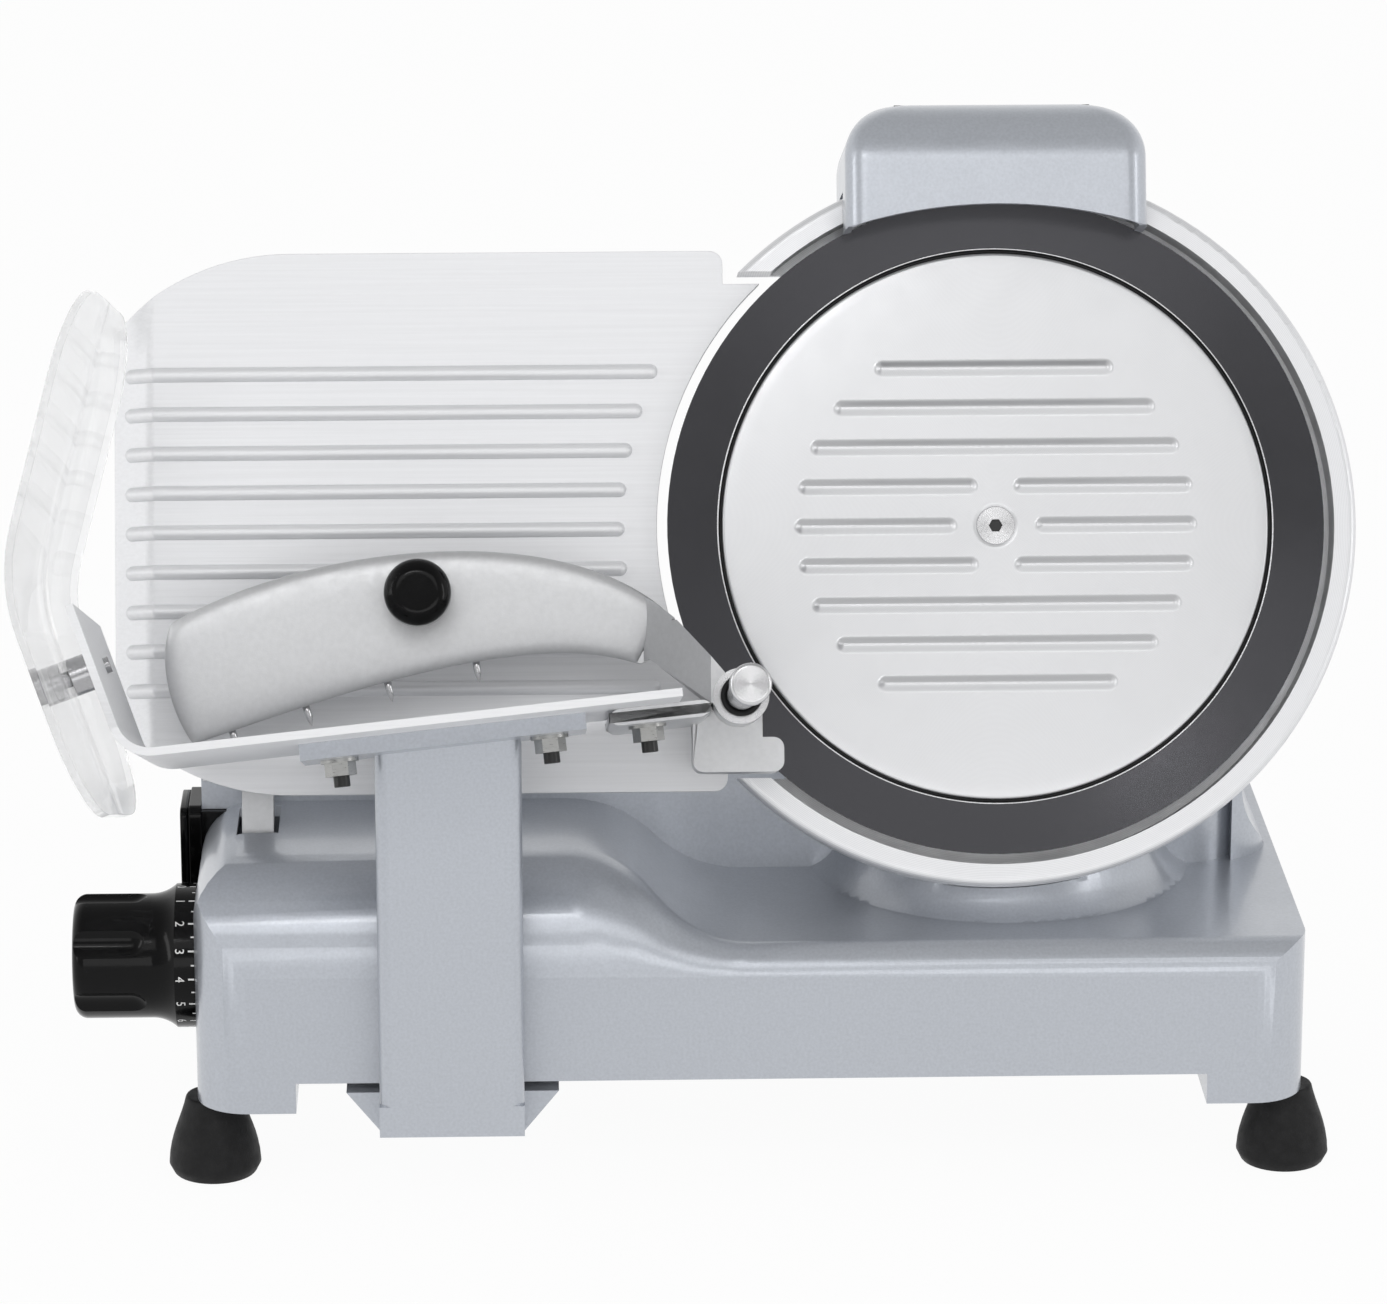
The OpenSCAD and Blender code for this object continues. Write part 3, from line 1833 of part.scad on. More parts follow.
// Switch on the left wall, with the stop button above the start button
module at_switch() {
  translate([left, switch_y, switch_z])
    rotate([90, 0, -90])
      children();
}

button_u = button_h / 2 + 1;

module switch_housing() {
  color([0.06, 0.06, 0.06])
    at_switch()
      difference() {
        union() {
          slab(0, switch_out)
            round_rect(switch_w, switch_h, 4);
          slab(-switch_in, 1)
            square([switch_w - 4 - gap, switch_h - 4 - gap], center = true);
        }
        for (s = [-1, 1])
          translate([0, s * button_u, 0])
            slab(-wall - 2, switch_out + 1)
              round_rect(button_w + gap, button_h + gap, 3);
      }
}

module push_button(s) {
  at_switch()
    translate([0, s * button_u, 0])
      slab(-wall - 2 + button_travel + gap, switch_out + button_out)
        round_rect(button_w - gap, button_h - gap, 3 - gap);
}

module stop_button() {
  color([0.75, 0.08, 0.07])
    push_button(1);
}

module start_button() {
  color([0.1, 0.5, 0.2])
    push_button(-1);
}

module cable_gland() {
  color([0.07, 0.07, 0.07])
    translate([gland_x, back, gland_z])
      rotate([-90, 0, 0])
        difference() {
          union() {
            slab(-wall - 4, 2)
              circle(gland_r);
            slab(0, 8)
              circle(gland_r + 3);
          }
          slab(-wall - 5, 9)
            circle(4);
        }
}

base_casting();
base_plate();
base_plate_screws();
rubber_feet();
foot_bolts();
blade_guard_ring();
ring_screws();
blade_cover_plate();
cover_plate_screw();
blade_spindle();
blade_bearings();
blade();
blade_pulley();
blade_screws();
motor_body();
motor_screws();
motor_shaft();
motor_pulley();
drive_belt();
thickness_dial();
dial_shaft();
dial_cam();
gauge_plate();
gauge_arm();
gauge_screws();
gauge_slide_bar();
slide_rod();
guide_rail();
carriage_column();
slider_block();
slider_bushings();
slider_screws();
guide_roller();
roller_pin();
product_tray();
tray_bolts();
tray_nuts();
rod_bracket();
pusher_rod();
rod_end_cap();
pusher_bush();
pusher_arm();
pusher_spikes();
pusher_knob();
hand_guard();
guard_stud();
sharpener_post();
sharpener_cover();
sharpener_frame();
grinding_button();
grinding_stone();
honing_button();
honing_stone();
switch_housing();
start_button();
stop_button();
cable_gland();
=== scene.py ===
"""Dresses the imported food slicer: finishes, the dial's print, small trim and a studio."""

import math

import bmesh
import bpy
import numpy as np
from bpy.props import FloatProperty, FloatVectorProperty, IntProperty, PointerProperty
from mathutils import Matrix, Vector


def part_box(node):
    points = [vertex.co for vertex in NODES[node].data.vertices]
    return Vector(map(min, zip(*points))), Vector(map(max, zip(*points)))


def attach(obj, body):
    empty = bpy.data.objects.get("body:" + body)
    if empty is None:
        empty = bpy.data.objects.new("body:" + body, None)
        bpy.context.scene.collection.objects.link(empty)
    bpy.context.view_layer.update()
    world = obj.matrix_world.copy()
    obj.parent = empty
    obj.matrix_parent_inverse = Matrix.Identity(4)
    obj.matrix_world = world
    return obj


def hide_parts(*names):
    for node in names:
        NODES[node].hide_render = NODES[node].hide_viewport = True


bl_info = {
    "name": "Food Slicer Dressing",
    "version": (1, 0, 0),
    "blender": (4, 5, 0),
    "location": "View3D > Sidebar > Slicer",
    "description": "Finishes, dial print and studio for a gravity food slicer",
    "category": "Object",
}

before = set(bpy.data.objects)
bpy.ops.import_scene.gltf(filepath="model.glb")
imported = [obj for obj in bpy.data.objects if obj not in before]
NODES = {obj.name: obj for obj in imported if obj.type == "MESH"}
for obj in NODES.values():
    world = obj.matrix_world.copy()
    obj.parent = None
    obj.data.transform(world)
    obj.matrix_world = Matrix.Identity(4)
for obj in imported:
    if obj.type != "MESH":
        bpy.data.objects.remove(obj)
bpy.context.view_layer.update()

# The blade's frame: its middle, its lean, and directions along, up and out of its face
BLADE_AT = Vector((0.1122, 0.0018, 0.238))
BLADE_LEAN = math.radians(20)
BLADE_TURN = (math.radians(90) - BLADE_LEAN, 0.0, 0.0)
ALONG = np.array((1.0, 0.0, 0.0))
UP = np.array((0.0, math.sin(BLADE_LEAN), math.cos(BLADE_LEAN)))
OUT = np.array((0.0, -math.cos(BLADE_LEAN), math.sin(BLADE_LEAN)))

# The tray's end wall in the blade's frame: the middle of its bend, and its lean from upright
WALL_AT = np.array((-0.31223, -0.07506))
WALL_LEAN = math.radians(19.9)

# The pusher's rod in the blade's frame, and the front of the pusher's plate along the rod
ROD_AT = np.array((-0.1000, -0.0670))
PRESS_FRONT = 0.031

# The sharpener cover in the blade's frame: its outline, the curves of its sides and front at the top,
# and the rounding of the edges between them
HOOD_TOP = 0.160
HOOD_HALF = 0.057
HOOD_FRONT = 0.027
HOOD_SIDE_CURVE = 0.022
HOOD_FRONT_CURVE = 0.024
HOOD_ROUND = 0.008

# Corners of a CAD node closer than this are one, and triangles flatter than this are one face
WELD = 1e-5
FLAT = math.radians(0.6)


class SlicerFinishes(bpy.types.PropertyGroup):
    """Colours and roughness of the finishes."""

    paint: FloatVectorProperty(
        name="Paint", description="Silver-grey paint of the castings",
        subtype="COLOR", size=3, default=(0.48, 0.505, 0.55), min=0, max=1,
    )
    aluminium: FloatVectorProperty(
        name="Aluminium", description="Satin plate, tray, disc and ring",
        subtype="COLOR", size=3, default=(0.78, 0.785, 0.80), min=0, max=1,
    )
    casting: FloatVectorProperty(
        name="Raw casting", description="Pusher and rod bracket",
        subtype="COLOR", size=3, default=(0.6, 0.605, 0.615), min=0, max=1,
    )
    blade: FloatVectorProperty(
        name="Blade", description="Dark polished steel",
        subtype="COLOR", size=3, default=(0.062, 0.062, 0.067), min=0, max=1,
    )
    plastic: FloatVectorProperty(
        name="Black plastic", description="Dial, knob and switch housing",
        subtype="COLOR", size=3, default=(0.002, 0.002, 0.0022), min=0, max=1,
    )
    edge: FloatProperty(
        name="Edge radius", description="Rounding of the castings' edges",
        subtype="DISTANCE", unit="LENGTH", default=0.0015, min=0, max=0.006,
    )


class SlicerGuard(bpy.types.PropertyGroup):
    """Clear hand guard beside the tray."""

    sheet: FloatProperty(
        name="Sheet", description="Thickness of the acrylic",
        subtype="DISTANCE", unit="LENGTH", default=0.003, min=0.001, max=0.006,
    )
    flare: FloatProperty(
        name="Flare", description="How far the front edge swings out and the rear edge in",
        subtype="DISTANCE", unit="LENGTH", default=0.007, min=0, max=0.02,
    )
    bend: FloatProperty(
        name="Bend", description="Radius of the fold half-way up",
        subtype="DISTANCE", unit="LENGTH", default=0.06, min=0.005, max=0.09,
    )


class SlicerDial(bpy.types.PropertyGroup):
    """Print on the dial's skirt."""

    divisions: IntProperty(
        name="Divisions", description="Numbers round the skirt", default=16, min=4, max=32,
    )
    figure: FloatProperty(
        name="Figure height", description="Height of a number",
        subtype="DISTANCE", unit="LENGTH", default=0.0034, min=0.002, max=0.008,
    )


class SlicerStage(bpy.types.PropertyGroup):
    """Camera, light and floor."""

    lens: FloatProperty(
        name="Lens", description="Focal length on a 36 mm wide sensor", default=156.43, min=20, max=400,
    )
    sky: FloatProperty(
        name="Sky", description="Strength of the even light all round", default=0.6, min=0, max=3,
    )
    key: FloatProperty(
        name="Key", description="Power of the front lamp, which the others share",
        default=7.0, min=0, max=100,
    )
    white: FloatProperty(
        name="White", description="Share of plain white in the floor as seen, over its shadow",
        default=0.95, min=0, max=1,
    )


# Meshes

def in_blade(x, u, n):
    """Points from numbers along, up and out of the blade's face."""
    x, u, n = np.broadcast_arrays(x, u, n)
    return np.array(BLADE_AT) + x[..., None] * ALONG + u[..., None] * UP + n[..., None] * OUT


def full_turn(steps):
    """Even angles round a circle, the first not repeated at the end."""
    return np.linspace(0, 2 * math.pi, steps, endpoint=False)


def grid_faces(rows, columns, wrap_rows=False, wrap_columns=False):
    """Quads of a grid of points, numbered row by row; a wrapped side closes on itself."""
    r = np.arange(rows if wrap_rows else rows - 1)
    c = np.arange(columns if wrap_columns else columns - 1)
    r, c = (a.ravel() for a in np.meshgrid(r, c, indexing="ij"))
    r1, c1 = (r + 1) % rows, (c + 1) % columns
    return np.stack((r * columns + c, r1 * columns + c, r1 * columns + c1, r * columns + c1), 1)


def join_shapes(shapes):
    """Several pairs of points and faces as one pair."""
    points, faces, start = [], [], 0
    for more, polygons in shapes:
        points.append(more)
        faces += [[v + start for v in polygon] for polygon in polygons]
        start += len(more)
    return np.concatenate(points), faces


def seat(name, mesh, body):
    """A mesh as an object at the origin, riding on a body."""
    piece = bpy.data.objects.new(name, mesh)
    bpy.context.scene.collection.objects.link(piece)
    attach(piece, body)
    return piece


def add_piece(name, points, faces, material, body, slot, smooth=True):
    """A piece from arrays of points and faces."""
    mesh = bpy.data.meshes.new(name)
    mesh.from_pydata(np.asarray(points, float).reshape(-1, 3), [], [tuple(map(int, f)) for f in faces])
    mesh.update()
    mesh.materials.append(material)
    if smooth:
        mesh.shade_smooth()
    return seat(name, mesh, body)


def weld(piece, distance=WELD):
    """Joins a piece's loose faces at their corners."""
    joined = piece.modifiers.new("Weld", "WELD")
    joined.merge_threshold = distance


def crease(piece, angle):
    """Keeps edges sharper than an angle crisp under smooth shading."""
    split = piece.modifiers.new("Sharp edges", "EDGE_SPLIT")
    split.split_angle = math.radians(angle)


def round_edges(piece, width, segments=2, limit=35):
    """Rounds edges sharper than a limit and keeps flat faces evenly shaded."""
    bevel = piece.modifiers.new("Round edges", "BEVEL")
    bevel.width = width
    bevel.segments = segments
    bevel.limit_method = "ANGLE"
    bevel.angle_limit = math.radians(limit)
    bevel.use_clamp_overlap = True
    even = piece.modifiers.new("Even shading", "WEIGHTED_NORMAL")
    even.mode = "FACE_AREA"
    even.weight = 80


def polish(node):
    """Welds a node's triangles and smooths them between its sharp edges."""
    piece = NODES[node]
    piece.data.shade_smooth()
    weld(piece)
    crease(piece, 25)


def soften(node, width, segments=2):
    """Welds a node's triangles, merges its flat ones and rounds its sharp edges."""
    piece = NODES[node]
    piece.data.shade_smooth()
    weld(piece)
    flat = piece.modifiers.new("Flat faces", "DECIMATE")
    flat.decimate_type = "DISSOLVE"
    flat.angle_limit = FLAT
    round_edges(piece, width, segments)


def merged(node):
    """A node's mesh with its triangles welded and its flat ones merged, for editing."""
    shape = bmesh.new()
    shape.from_mesh(NODES[node].data)
    bmesh.ops.remove_doubles(shape, verts=shape.verts, dist=WELD)
    bmesh.ops.dissolve_limit(shape, angle_limit=FLAT, verts=shape.verts, edges=shape.edges)
    shape.normal_update()
    return shape


def place_copy(shape, node, name, body):
    """An edited mesh in the place of its node, in the node's finish."""
    mesh = bpy.data.meshes.new(name)
    shape.to_mesh(mesh)
    shape.free()
    mesh.materials.clear()
    mesh.materials.append(NODES[node].data.materials[0])
    mesh.shade_smooth()
    piece = seat(name, mesh, body)
    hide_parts(node)
    return piece


def rounded_copy(node, name, body, radius, sharp, short):
    """A copy of a node with its corners along the blade's axis rounded: those turned by an angle
    within the limits, and longer than a length."""
    shape = merged(node)
    low, high = map(math.radians, sharp)
    parallel = 0.98
    edges = []
    for edge in shape.edges:
        span = edge.verts[1].co - edge.verts[0].co
        along = abs(span.normalized().dot(Vector(OUT))) > parallel
        outer = len(edge.link_faces) == 2 and edge.is_convex
        if along and outer and span.length > short and low < edge.calc_face_angle(0) < high:
            edges.append(edge)
    bmesh.ops.bevel(
        shape, geom=edges, offset=radius, offset_type="OFFSET", segments=7, profile=0.5,
        affect="EDGES", clamp_overlap=False,
    )
    return place_copy(shape, node, name, body)


def moved_copy(node, name, body, cuts, move):
    """A copy of a node cut along planes and with its points moved; a cut is a direction in the
    blade's frame and the places along it, and move takes and gives numbers along, up and out."""
    shape = merged(node)
    for direction, places in cuts:
        for place in places:
            bmesh.ops.bisect_plane(
                shape, geom=shape.verts[:] + shape.edges[:] + shape.faces[:], dist=1e-6,
                plane_co=BLADE_AT + Vector(direction) * place, plane_no=direction,
            )
    piece = place_copy(shape, node, name, body)
    flat = np.empty(len(piece.data.vertices) * 3)
    piece.data.vertices.foreach_get("co", flat)
    from_blade = flat.reshape(-1, 3) - np.array(BLADE_AT)
    points = in_blade(*move(from_blade @ ALONG, from_blade @ UP, from_blade @ OUT))
    piece.data.vertices.foreach_set("co", points.ravel())
    piece.data.update()
    return piece


# Materials

class Finish:
    """A node material under construction: one principled shader and helpers for its inputs."""

    # The part of a texture's range that its values mostly lie in
    MIDDLE = (0.3, 0.7)

    def __init__(self, name, **values):
        self.material = bpy.data.materials.new(name)
        self.material.use_nodes = True
        self.nodes = self.material.node_tree.nodes
        self.links = self.material.node_tree.links
        self.shader = self.nodes["Principled BSDF"]
        for key, value in values.items():
            self.shader.inputs[key.replace("_", " ")].default_value = value

    def add(self, kind, **settings):
        """A new node with its settings."""
        node = self.nodes.new("ShaderNode" + kind)
        for key, value in settings.items():
            setattr(node, key, value)
        return node

    def place(self, scale=(1, 1, 1), at=(0, 0, 0), turn=(0, 0, 0)):
        """Object coordinates, centred at a point, turned back and scaled."""
        coordinates = self.add("TexCoord")
        centre = self.add("Mapping", vector_type="TEXTURE")
        centre.inputs["Location"].default_value = at
        centre.inputs["Rotation"].default_value = turn
        stretch = self.add("Mapping")
        stretch.inputs["Scale"].default_value = scale
        self.links.new(coordinates.outputs["Object"], centre.inputs["Vector"])
        self.links.new(centre.outputs["Vector"], stretch.inputs["Vector"])
        return stretch.outputs["Vector"]

    def noise(self, vector, scale, detail=3.0, roughness=0.5):
        """Cloudy grain."""
        node = self.add("TexNoise")
        node.inputs["Scale"].default_value = scale
        node.inputs["Detail"].default_value = detail
        node.inputs["Roughness"].default_value = roughness
        self.links.new(vector, node.inputs["Vector"])
        return node.outputs["Fac"]

    def rings(self, vector, scale):
        """Slightly uneven rings about the third axis."""
        node = self.add("TexWave", wave_type="RINGS", rings_direction="Z")
        node.inputs["Scale"].default_value = scale
        node.inputs["Distortion"].default_value = 0.1
        self.links.new(vector, node.inputs["Vector"])
        return node.outputs["Fac"]

    def tint(self, value, dark, light):
        """Colour between two tones by a texture's value."""
        node = self.add("ValToRGB")
        for stop, place, tone in zip(node.color_ramp.elements, self.MIDDLE, (dark, light)):
            stop.position = place
            stop.color = (*tone, 1)
        self.links.new(value, node.inputs["Fac"])
        self.links.new(node.outputs["Color"], self.shader.inputs["Base Color"])

    def rough(self, value, low, high):
        """Roughness between two numbers by a texture's value."""
        node = self.add("MapRange")
        node.inputs["From Min"].default_value, node.inputs["From Max"].default_value = self.MIDDLE
        node.inputs["To Min"].default_value = low
        node.inputs["To Max"].default_value = high
        self.links.new(value, node.inputs["Value"])
        self.links.new(node.outputs["Result"], self.shader.inputs["Roughness"])

    def bump(self, value, depth):
        """Relief of a depth by a texture's value."""
        node = self.add("Bump")
        node.inputs["Distance"].default_value = depth
        node.inputs["Strength"].default_value = 1.0
        self.links.new(value, node.inputs["Height"])
        self.links.new(node.outputs["Normal"], self.shader.inputs["Normal"])


def shade(colour, factor):
    """A colour made darker or lighter."""
    return tuple(min(1.0, c * factor) for c in colour)


def paint_finish(colour):
    """Satin metallic paint: fine flake in its tone, a slight orange peel and a thin clear coat."""
    f = Finish("silver_paint", Metallic=0.55, Coat_Weight=0.5, Coat_Roughness=0.1)
    space = f.place()
    f.tint(f.noise(space, scale=900, detail=2), shade(colour, 0.95), shade(colour, 1.05))
    f.rough(f.noise(space, scale=60), low=0.3, high=0.36)
    f.bump(f.noise(space, scale=260, detail=2), depth=0.00006)
    return f.material


def plate_finish(colour):
    """Satin anodised plate, brushed along the machine."""
    f = Finish("brushed_aluminium", Metallic=0.4)
    space = f.place(scale=(14, 900, 900), at=BLADE_AT, turn=BLADE_TURN)
    lines = f.noise(space, scale=1.0, detail=4)
    f.tint(lines, shade(colour, 0.95), shade(colour, 1.03))
    f.rough(lines, low=0.44, high=0.54)
    f.bump(lines, depth=0.00002)
    return f.material


def disc_finish(name, colour, metallic, low, high, scale, at=BLADE_AT):
    """Metal turned on a lathe: fine rings about an axis along the blade's."""
    f = Finish(name, Metallic=metallic)
    space = f.place(at=at, turn=BLADE_TURN)
    lines = f.rings(space, scale)
    f.tint(lines, shade(colour, 0.94), shade(colour, 1.05))
    f.rough(f.noise(space, scale=90), low, high)
    f.bump(lines, depth=0.000008)
    return f.material


def cast_finish(colour):
    """Tumbled casting: satin, with a very fine grain."""
    f = Finish("raw_casting", Metallic=0.75)
    space = f.place()
    f.tint(f.noise(space, scale=500), shade(colour, 0.97), shade(colour, 1.03))
    f.rough(f.noise(space, scale=300), low=0.36, high=0.44)
    f.bump(f.noise(space, scale=2200, detail=2), depth=0.00003)
    return f.material


def metal_finish(name, colour, low, high):
    """Plain machined or plated metal with faint scratches."""
    f = Finish(name, Metallic=1.0)
    scratches = f.noise(f.place(scale=(1, 1, 6)), scale=500, detail=4)
    f.tint(scratches, shade(colour, 0.92), shade(colour, 1.06))
    f.rough(scratches, low, high)
    return f.material


def plastic_finish(name, colour):
    """Moulded gloss plastic with a slightly uneven skin."""
    f = Finish(name, Specular_IOR_Level=0.16)
    space = f.place()
    f.tint(f.noise(space, scale=240, detail=2), shade(colour, 0.9), shade(colour, 1.15))
    f.rough(f.noise(space, scale=140), low=0.1, high=0.16)
    f.bump(f.noise(space, scale=700, detail=2), depth=0.00002)
    return f.material


def rubber_finish(colour):
    """Matt rubber with a fine grain."""
    f = Finish("black_rubber_and_shade", Specular_IOR_Level=0.2)
    space = f.place()
    f.tint(f.noise(space, scale=300), shade(colour, 0.85), shade(colour, 1.3))
    f.rough(f.noise(space, scale=200), low=0.48, high=0.62)
    f.bump(f.noise(space, scale=1800), depth=0.00008)
    return f.material


def clear_finish():
    """Clear acrylic sheet with faint wipe marks."""
    tone = (0.98, 0.985, 0.99, 1)
    f = Finish("clear_acrylic", Base_Color=tone, Transmission_Weight=1.0, IOR=1.38, Alpha=0.6)
    f.rough(f.noise(f.place(scale=(1, 1, 5)), scale=60), low=0.015, high=0.03)
    return f.material


def stone_finish(name, colour):
    """Bonded abrasive: coarse grains."""
    f = Finish(name)
    grains = f.noise(f.place(), scale=1500, roughness=0.7)
    f.tint(grains, shade(colour, 0.6), shade(colour, 1.3))
    f.rough(grains, low=0.8, high=0.95)
    f.bump(grains, depth=0.0003)
    return f.material


def motor_finish():
    """Dark satin paint of the motor's can."""
    f = Finish("motor_paint", Metallic=0.1)
    space = f.place()
    f.tint(f.noise(space, scale=400), (0.035, 0.037, 0.04), (0.055, 0.057, 0.062))
    f.rough(f.noise(space, scale=100), low=0.42, high=0.55)
    return f.material


def print_finish():
    """White ink of the dial's print."""
    f = Finish("white_print")
    space = f.place()
    f.tint(f.noise(space, scale=900), (0.78, 0.78, 0.76), (0.9, 0.9, 0.89))
    f.rough(f.noise(space, scale=500, detail=2), low=0.4, high=0.55)
    return f.material


def finish_nodes(material, *names):
    """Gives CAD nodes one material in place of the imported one."""
    for name in names:
        slots = NODES[name].data.materials
        slots.clear()
        slots.append(material)


# Operators

class SLICER_OT_castings(bpy.types.Operator):
    """Painted castings: base, carriage column and sharpener cover"""

    bl_idname = "slicer.castings"
    bl_label = "Painted Castings"

    def execute(self, context):
        finishes = context.scene.slicer_finishes
        finish_nodes(paint_finish(finishes.paint), "base_casting", "carriage_column", "sharpener_cover")
        soften("base_casting", finishes.edge, segments=3)
        soften("carriage_column", finishes.edge, segments=3)
        return {"FINISHED"}


class SLICER_OT_plates(bpy.types.Operator):
    """Bare plates: thickness plate, tray and guard ring"""

    bl_idname = "slicer.plates"
    bl_label = "Bare Plates"

    def execute(self, context):
        colour = context.scene.slicer_finishes.aluminium
        edge = 0.0004
        # Painted light: the thickness plate and tray take the aluminium 4 per cent lighter than the ring,
        # standing in for more light falling on them
        finish_nodes(plate_finish(shade(colour, 1.04)), "gauge_plate", "product_tray")
        turned = disc_finish("turned_ring", colour, metallic=0.5, low=0.34, high=0.44, scale=500)
        finish_nodes(turned, "blade_guard_ring")
        for name in ("product_tray", "blade_guard_ring"):
            soften(name, edge)
        plate = rounded_copy(
            "gauge_plate", "thickness_plate", "gauge",
            radius=0.005, sharp=(60, 100), short=0.004,
        )
        round_edges(plate, edge)
        return {"FINISHED"}


def lathe(outline, steps):
    """Points and faces of a closed outline of (radius, out) turned about the blade's axis."""
    radius, out = np.asarray(outline, float).T
    turn = full_turn(steps)[:, None]
    points = in_blade(radius * np.cos(turn), radius * np.sin(turn), out)
    return points.reshape(-1, 3), grid_faces(steps, len(radius), wrap_rows=True, wrap_columns=True)


def rib(x0, x1, u, half, height, level):
    """Rounded bar from x0 to x1: rings inset from its outline to its spine, lifted by a squared sine."""
    sunk = -0.0004
    arc = np.linspace(-math.pi / 2, math.pi / 2, 13)
    across = np.concatenate((np.cos(arc), -np.cos(arc)))
    upward = np.concatenate((np.sin(arc), -np.sin(arc)))
    spine = np.repeat((x1, x0), len(arc))
    inset = np.concatenate(((0.0,), np.linspace(0, 1, 9)))
    lift = np.concatenate(((sunk,), height * np.sin(inset[1:] * math.pi / 2) ** 2))
    reach = half * (1 - inset)[:, None]
    points = in_blade(spine + reach * across, u + reach * upward, level + lift[:, None])
    rings, around = points.shape[:2]
    faces = grid_faces(rings, around, wrap_columns=True)[:, ::-1].tolist()
    faces.append(list(range(around))[::-1])
    return points.reshape(-1, 3), faces


class SLICER_OT_disc(bpy.types.Operator):
    """Blade cover with pressed ribs and a rolled rim"""

    bl_idname = "slicer.disc"
    bl_label = "Blade Cover"

    def execute(self, context):
        front = -0.0014
        points, faces = join_shapes((self.shell(front), *self.ribs(front)))
        # Painted shade: the cover takes the aluminium a tenth darker than the ring, standing in for less
        # light falling on it
        colour = shade(context.scene.slicer_finishes.aluminium, 0.9)
        finish = disc_finish("turned_disc", colour, metallic=0.6, low=0.3, high=0.36, scale=700)
        piece = add_piece("ribbed_cover", points, faces, finish, "base", "bare_aluminium")
        weld(piece, distance=1e-6)
        crease(piece, 40)
        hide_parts("blade_cover_plate")
        return {"FINISHED"}

    def shell(self, front):
        """The cover without ribs: a countersunk bore, a flat that falls slightly and a round rim."""
        radius, rim, back = 0.1041, 0.0012, -0.0036
        bore, sink, land = 0.0044, 0.0024, (0.0080, 0.0090)
        flat, fall = 0.076, 0.0006
        slope = np.linspace(flat, radius - rim, 8)
        drop = fall * ((slope - flat) / (radius - flat)) ** 1.5
        turn = np.linspace(0, math.pi / 2, 6)[1:]
        outline = [(bore, back), (bore, front - sink), *((r, front) for r in land)]
        outline += zip(slope, front - drop)
        rim_front = front - drop[-1] - rim + rim * np.cos(turn)
        outline += zip(radius - rim + rim * np.sin(turn), rim_front)
        outline.append((radius, back))
        points, faces = lathe(outline, 180)
        return points, faces[:, ::-1].tolist()

    def ribs(self, front):
        """Nine rows of ribs that end on a circle and part round the screw."""
        pitch, spread, free = 0.015, 0.0735, 0.018
        shapes = []
        for row in range(-4, 5):
            u = row * pitch
            end = math.sqrt(spread**2 - u**2)
            gap = math.sqrt(max(free**2 - u**2, 0))
            spans = ((-end, -gap), (gap, end)) if gap else ((-end, end),)
            shapes += [rib(x0, x1, u, half=0.0034, height=0.0017, level=front) for x0, x1 in spans]
        return shapes


class SLICER_OT_blade(bpy.types.Operator):
    """Dark polished blade and its hidden drive"""

    bl_idname = "slicer.blade"
    bl_label = "Blade and Drive"

    def execute(self, context):
        colour = context.scene.slicer_finishes.blade
        polished = disc_finish("polished_blade", colour, metallic=1.0, low=0.14, high=0.17, scale=1400)
        finish_nodes(polished, "blade")
        polish("blade")
        ground = metal_finish("ground_steel", (0.58, 0.59, 0.61), low=0.24, high=0.36)
        finish_nodes(
            ground, "blade_spindle", "blade_bearings", "motor_shaft", "dial_shaft",
            "gauge_slide_bar", "slide_rod", "guide_rail", "roller_pin", "sharpener_post",
        )
        bronze = metal_finish("sintered_bronze", (0.52, 0.38, 0.2), low=0.4, high=0.5)
        finish_nodes(bronze, "slider_bushings", "dial_cam")
        finish_nodes(motor_finish(), "motor_body")
        return {"FINISHED"}


def neck_slope(x, u, n):
    """Slopes the pusher's neck from the front of its plate to the front of its boss, and brings the
    neck's upper edge into line with the plate's."""
    left, joint, right = ROD_AT[0] - 0.035, ROD_AT[0] - 0.023, ROD_AT[0] - 0.011
    plate_front, joint_front, boss_front = PRESS_FRONT + 0.0008, 0.0424, 0.0642
    edge_at, edge_slope, edge_length = ROD_AT[1] + 0.0293, 1.194, 0.017
    skin = 1e-4
    t = (x - left) / (right - left)
    ramp = plate_front + (boss_front - plate_front) * np.clip(t, 0, 1)
    fall = edge_at - edge_slope * (x - joint)
    edge = (x > joint - skin) & (x < joint + edge_length)
    front = (t > -0.001) & (t < 1) & ((n > ramp) | (x < joint + skin) & (n > joint_front))
    return x, np.where(edge, np.minimum(u, fall), u), np.where(front, ramp, n)


class SLICER_OT_cast_pieces(bpy.types.Operator):
    """Raw castings: pusher, bracket and slides"""

    bl_idname = "slicer.cast_pieces"
    bl_label = "Raw Castings"

    def execute(self, context):
        finish_nodes(
            cast_finish(context.scene.slicer_finishes.casting), "pusher_arm", "rod_bracket", "gauge_arm",
            "slider_block", "sharpener_frame", "blade_pulley", "motor_pulley",
        )
        near, far, pitch = 0.011, 0.0355, 0.002
        arm = moved_copy(
            "pusher_arm", "pusher_casting", "pusher",
            cuts=((ALONG, ROD_AT[0] - np.arange(near, far, pitch)),), move=neck_slope,
        )
        bracket = rounded_copy(
            "rod_bracket", "bracket_casting", "carriage",
            radius=0.004, sharp=(60, 120), short=0.02,
        )
        for piece in (arm, bracket):
            round_edges(piece, 0.0012, segments=3)
        return {"FINISHED"}


def bezier(a, b, c, d, t):
    """Cubic curve through four control points in millimetres, as metres."""
    a, b, c, d = (np.asarray(p, float) / 1000 for p in (a, b, c, d))
    t = np.asarray(t)[:, None]
    s = 1 - t
    return s**3 * a + 3 * s**2 * t * b + 3 * s * t**2 * c + t**3 * d


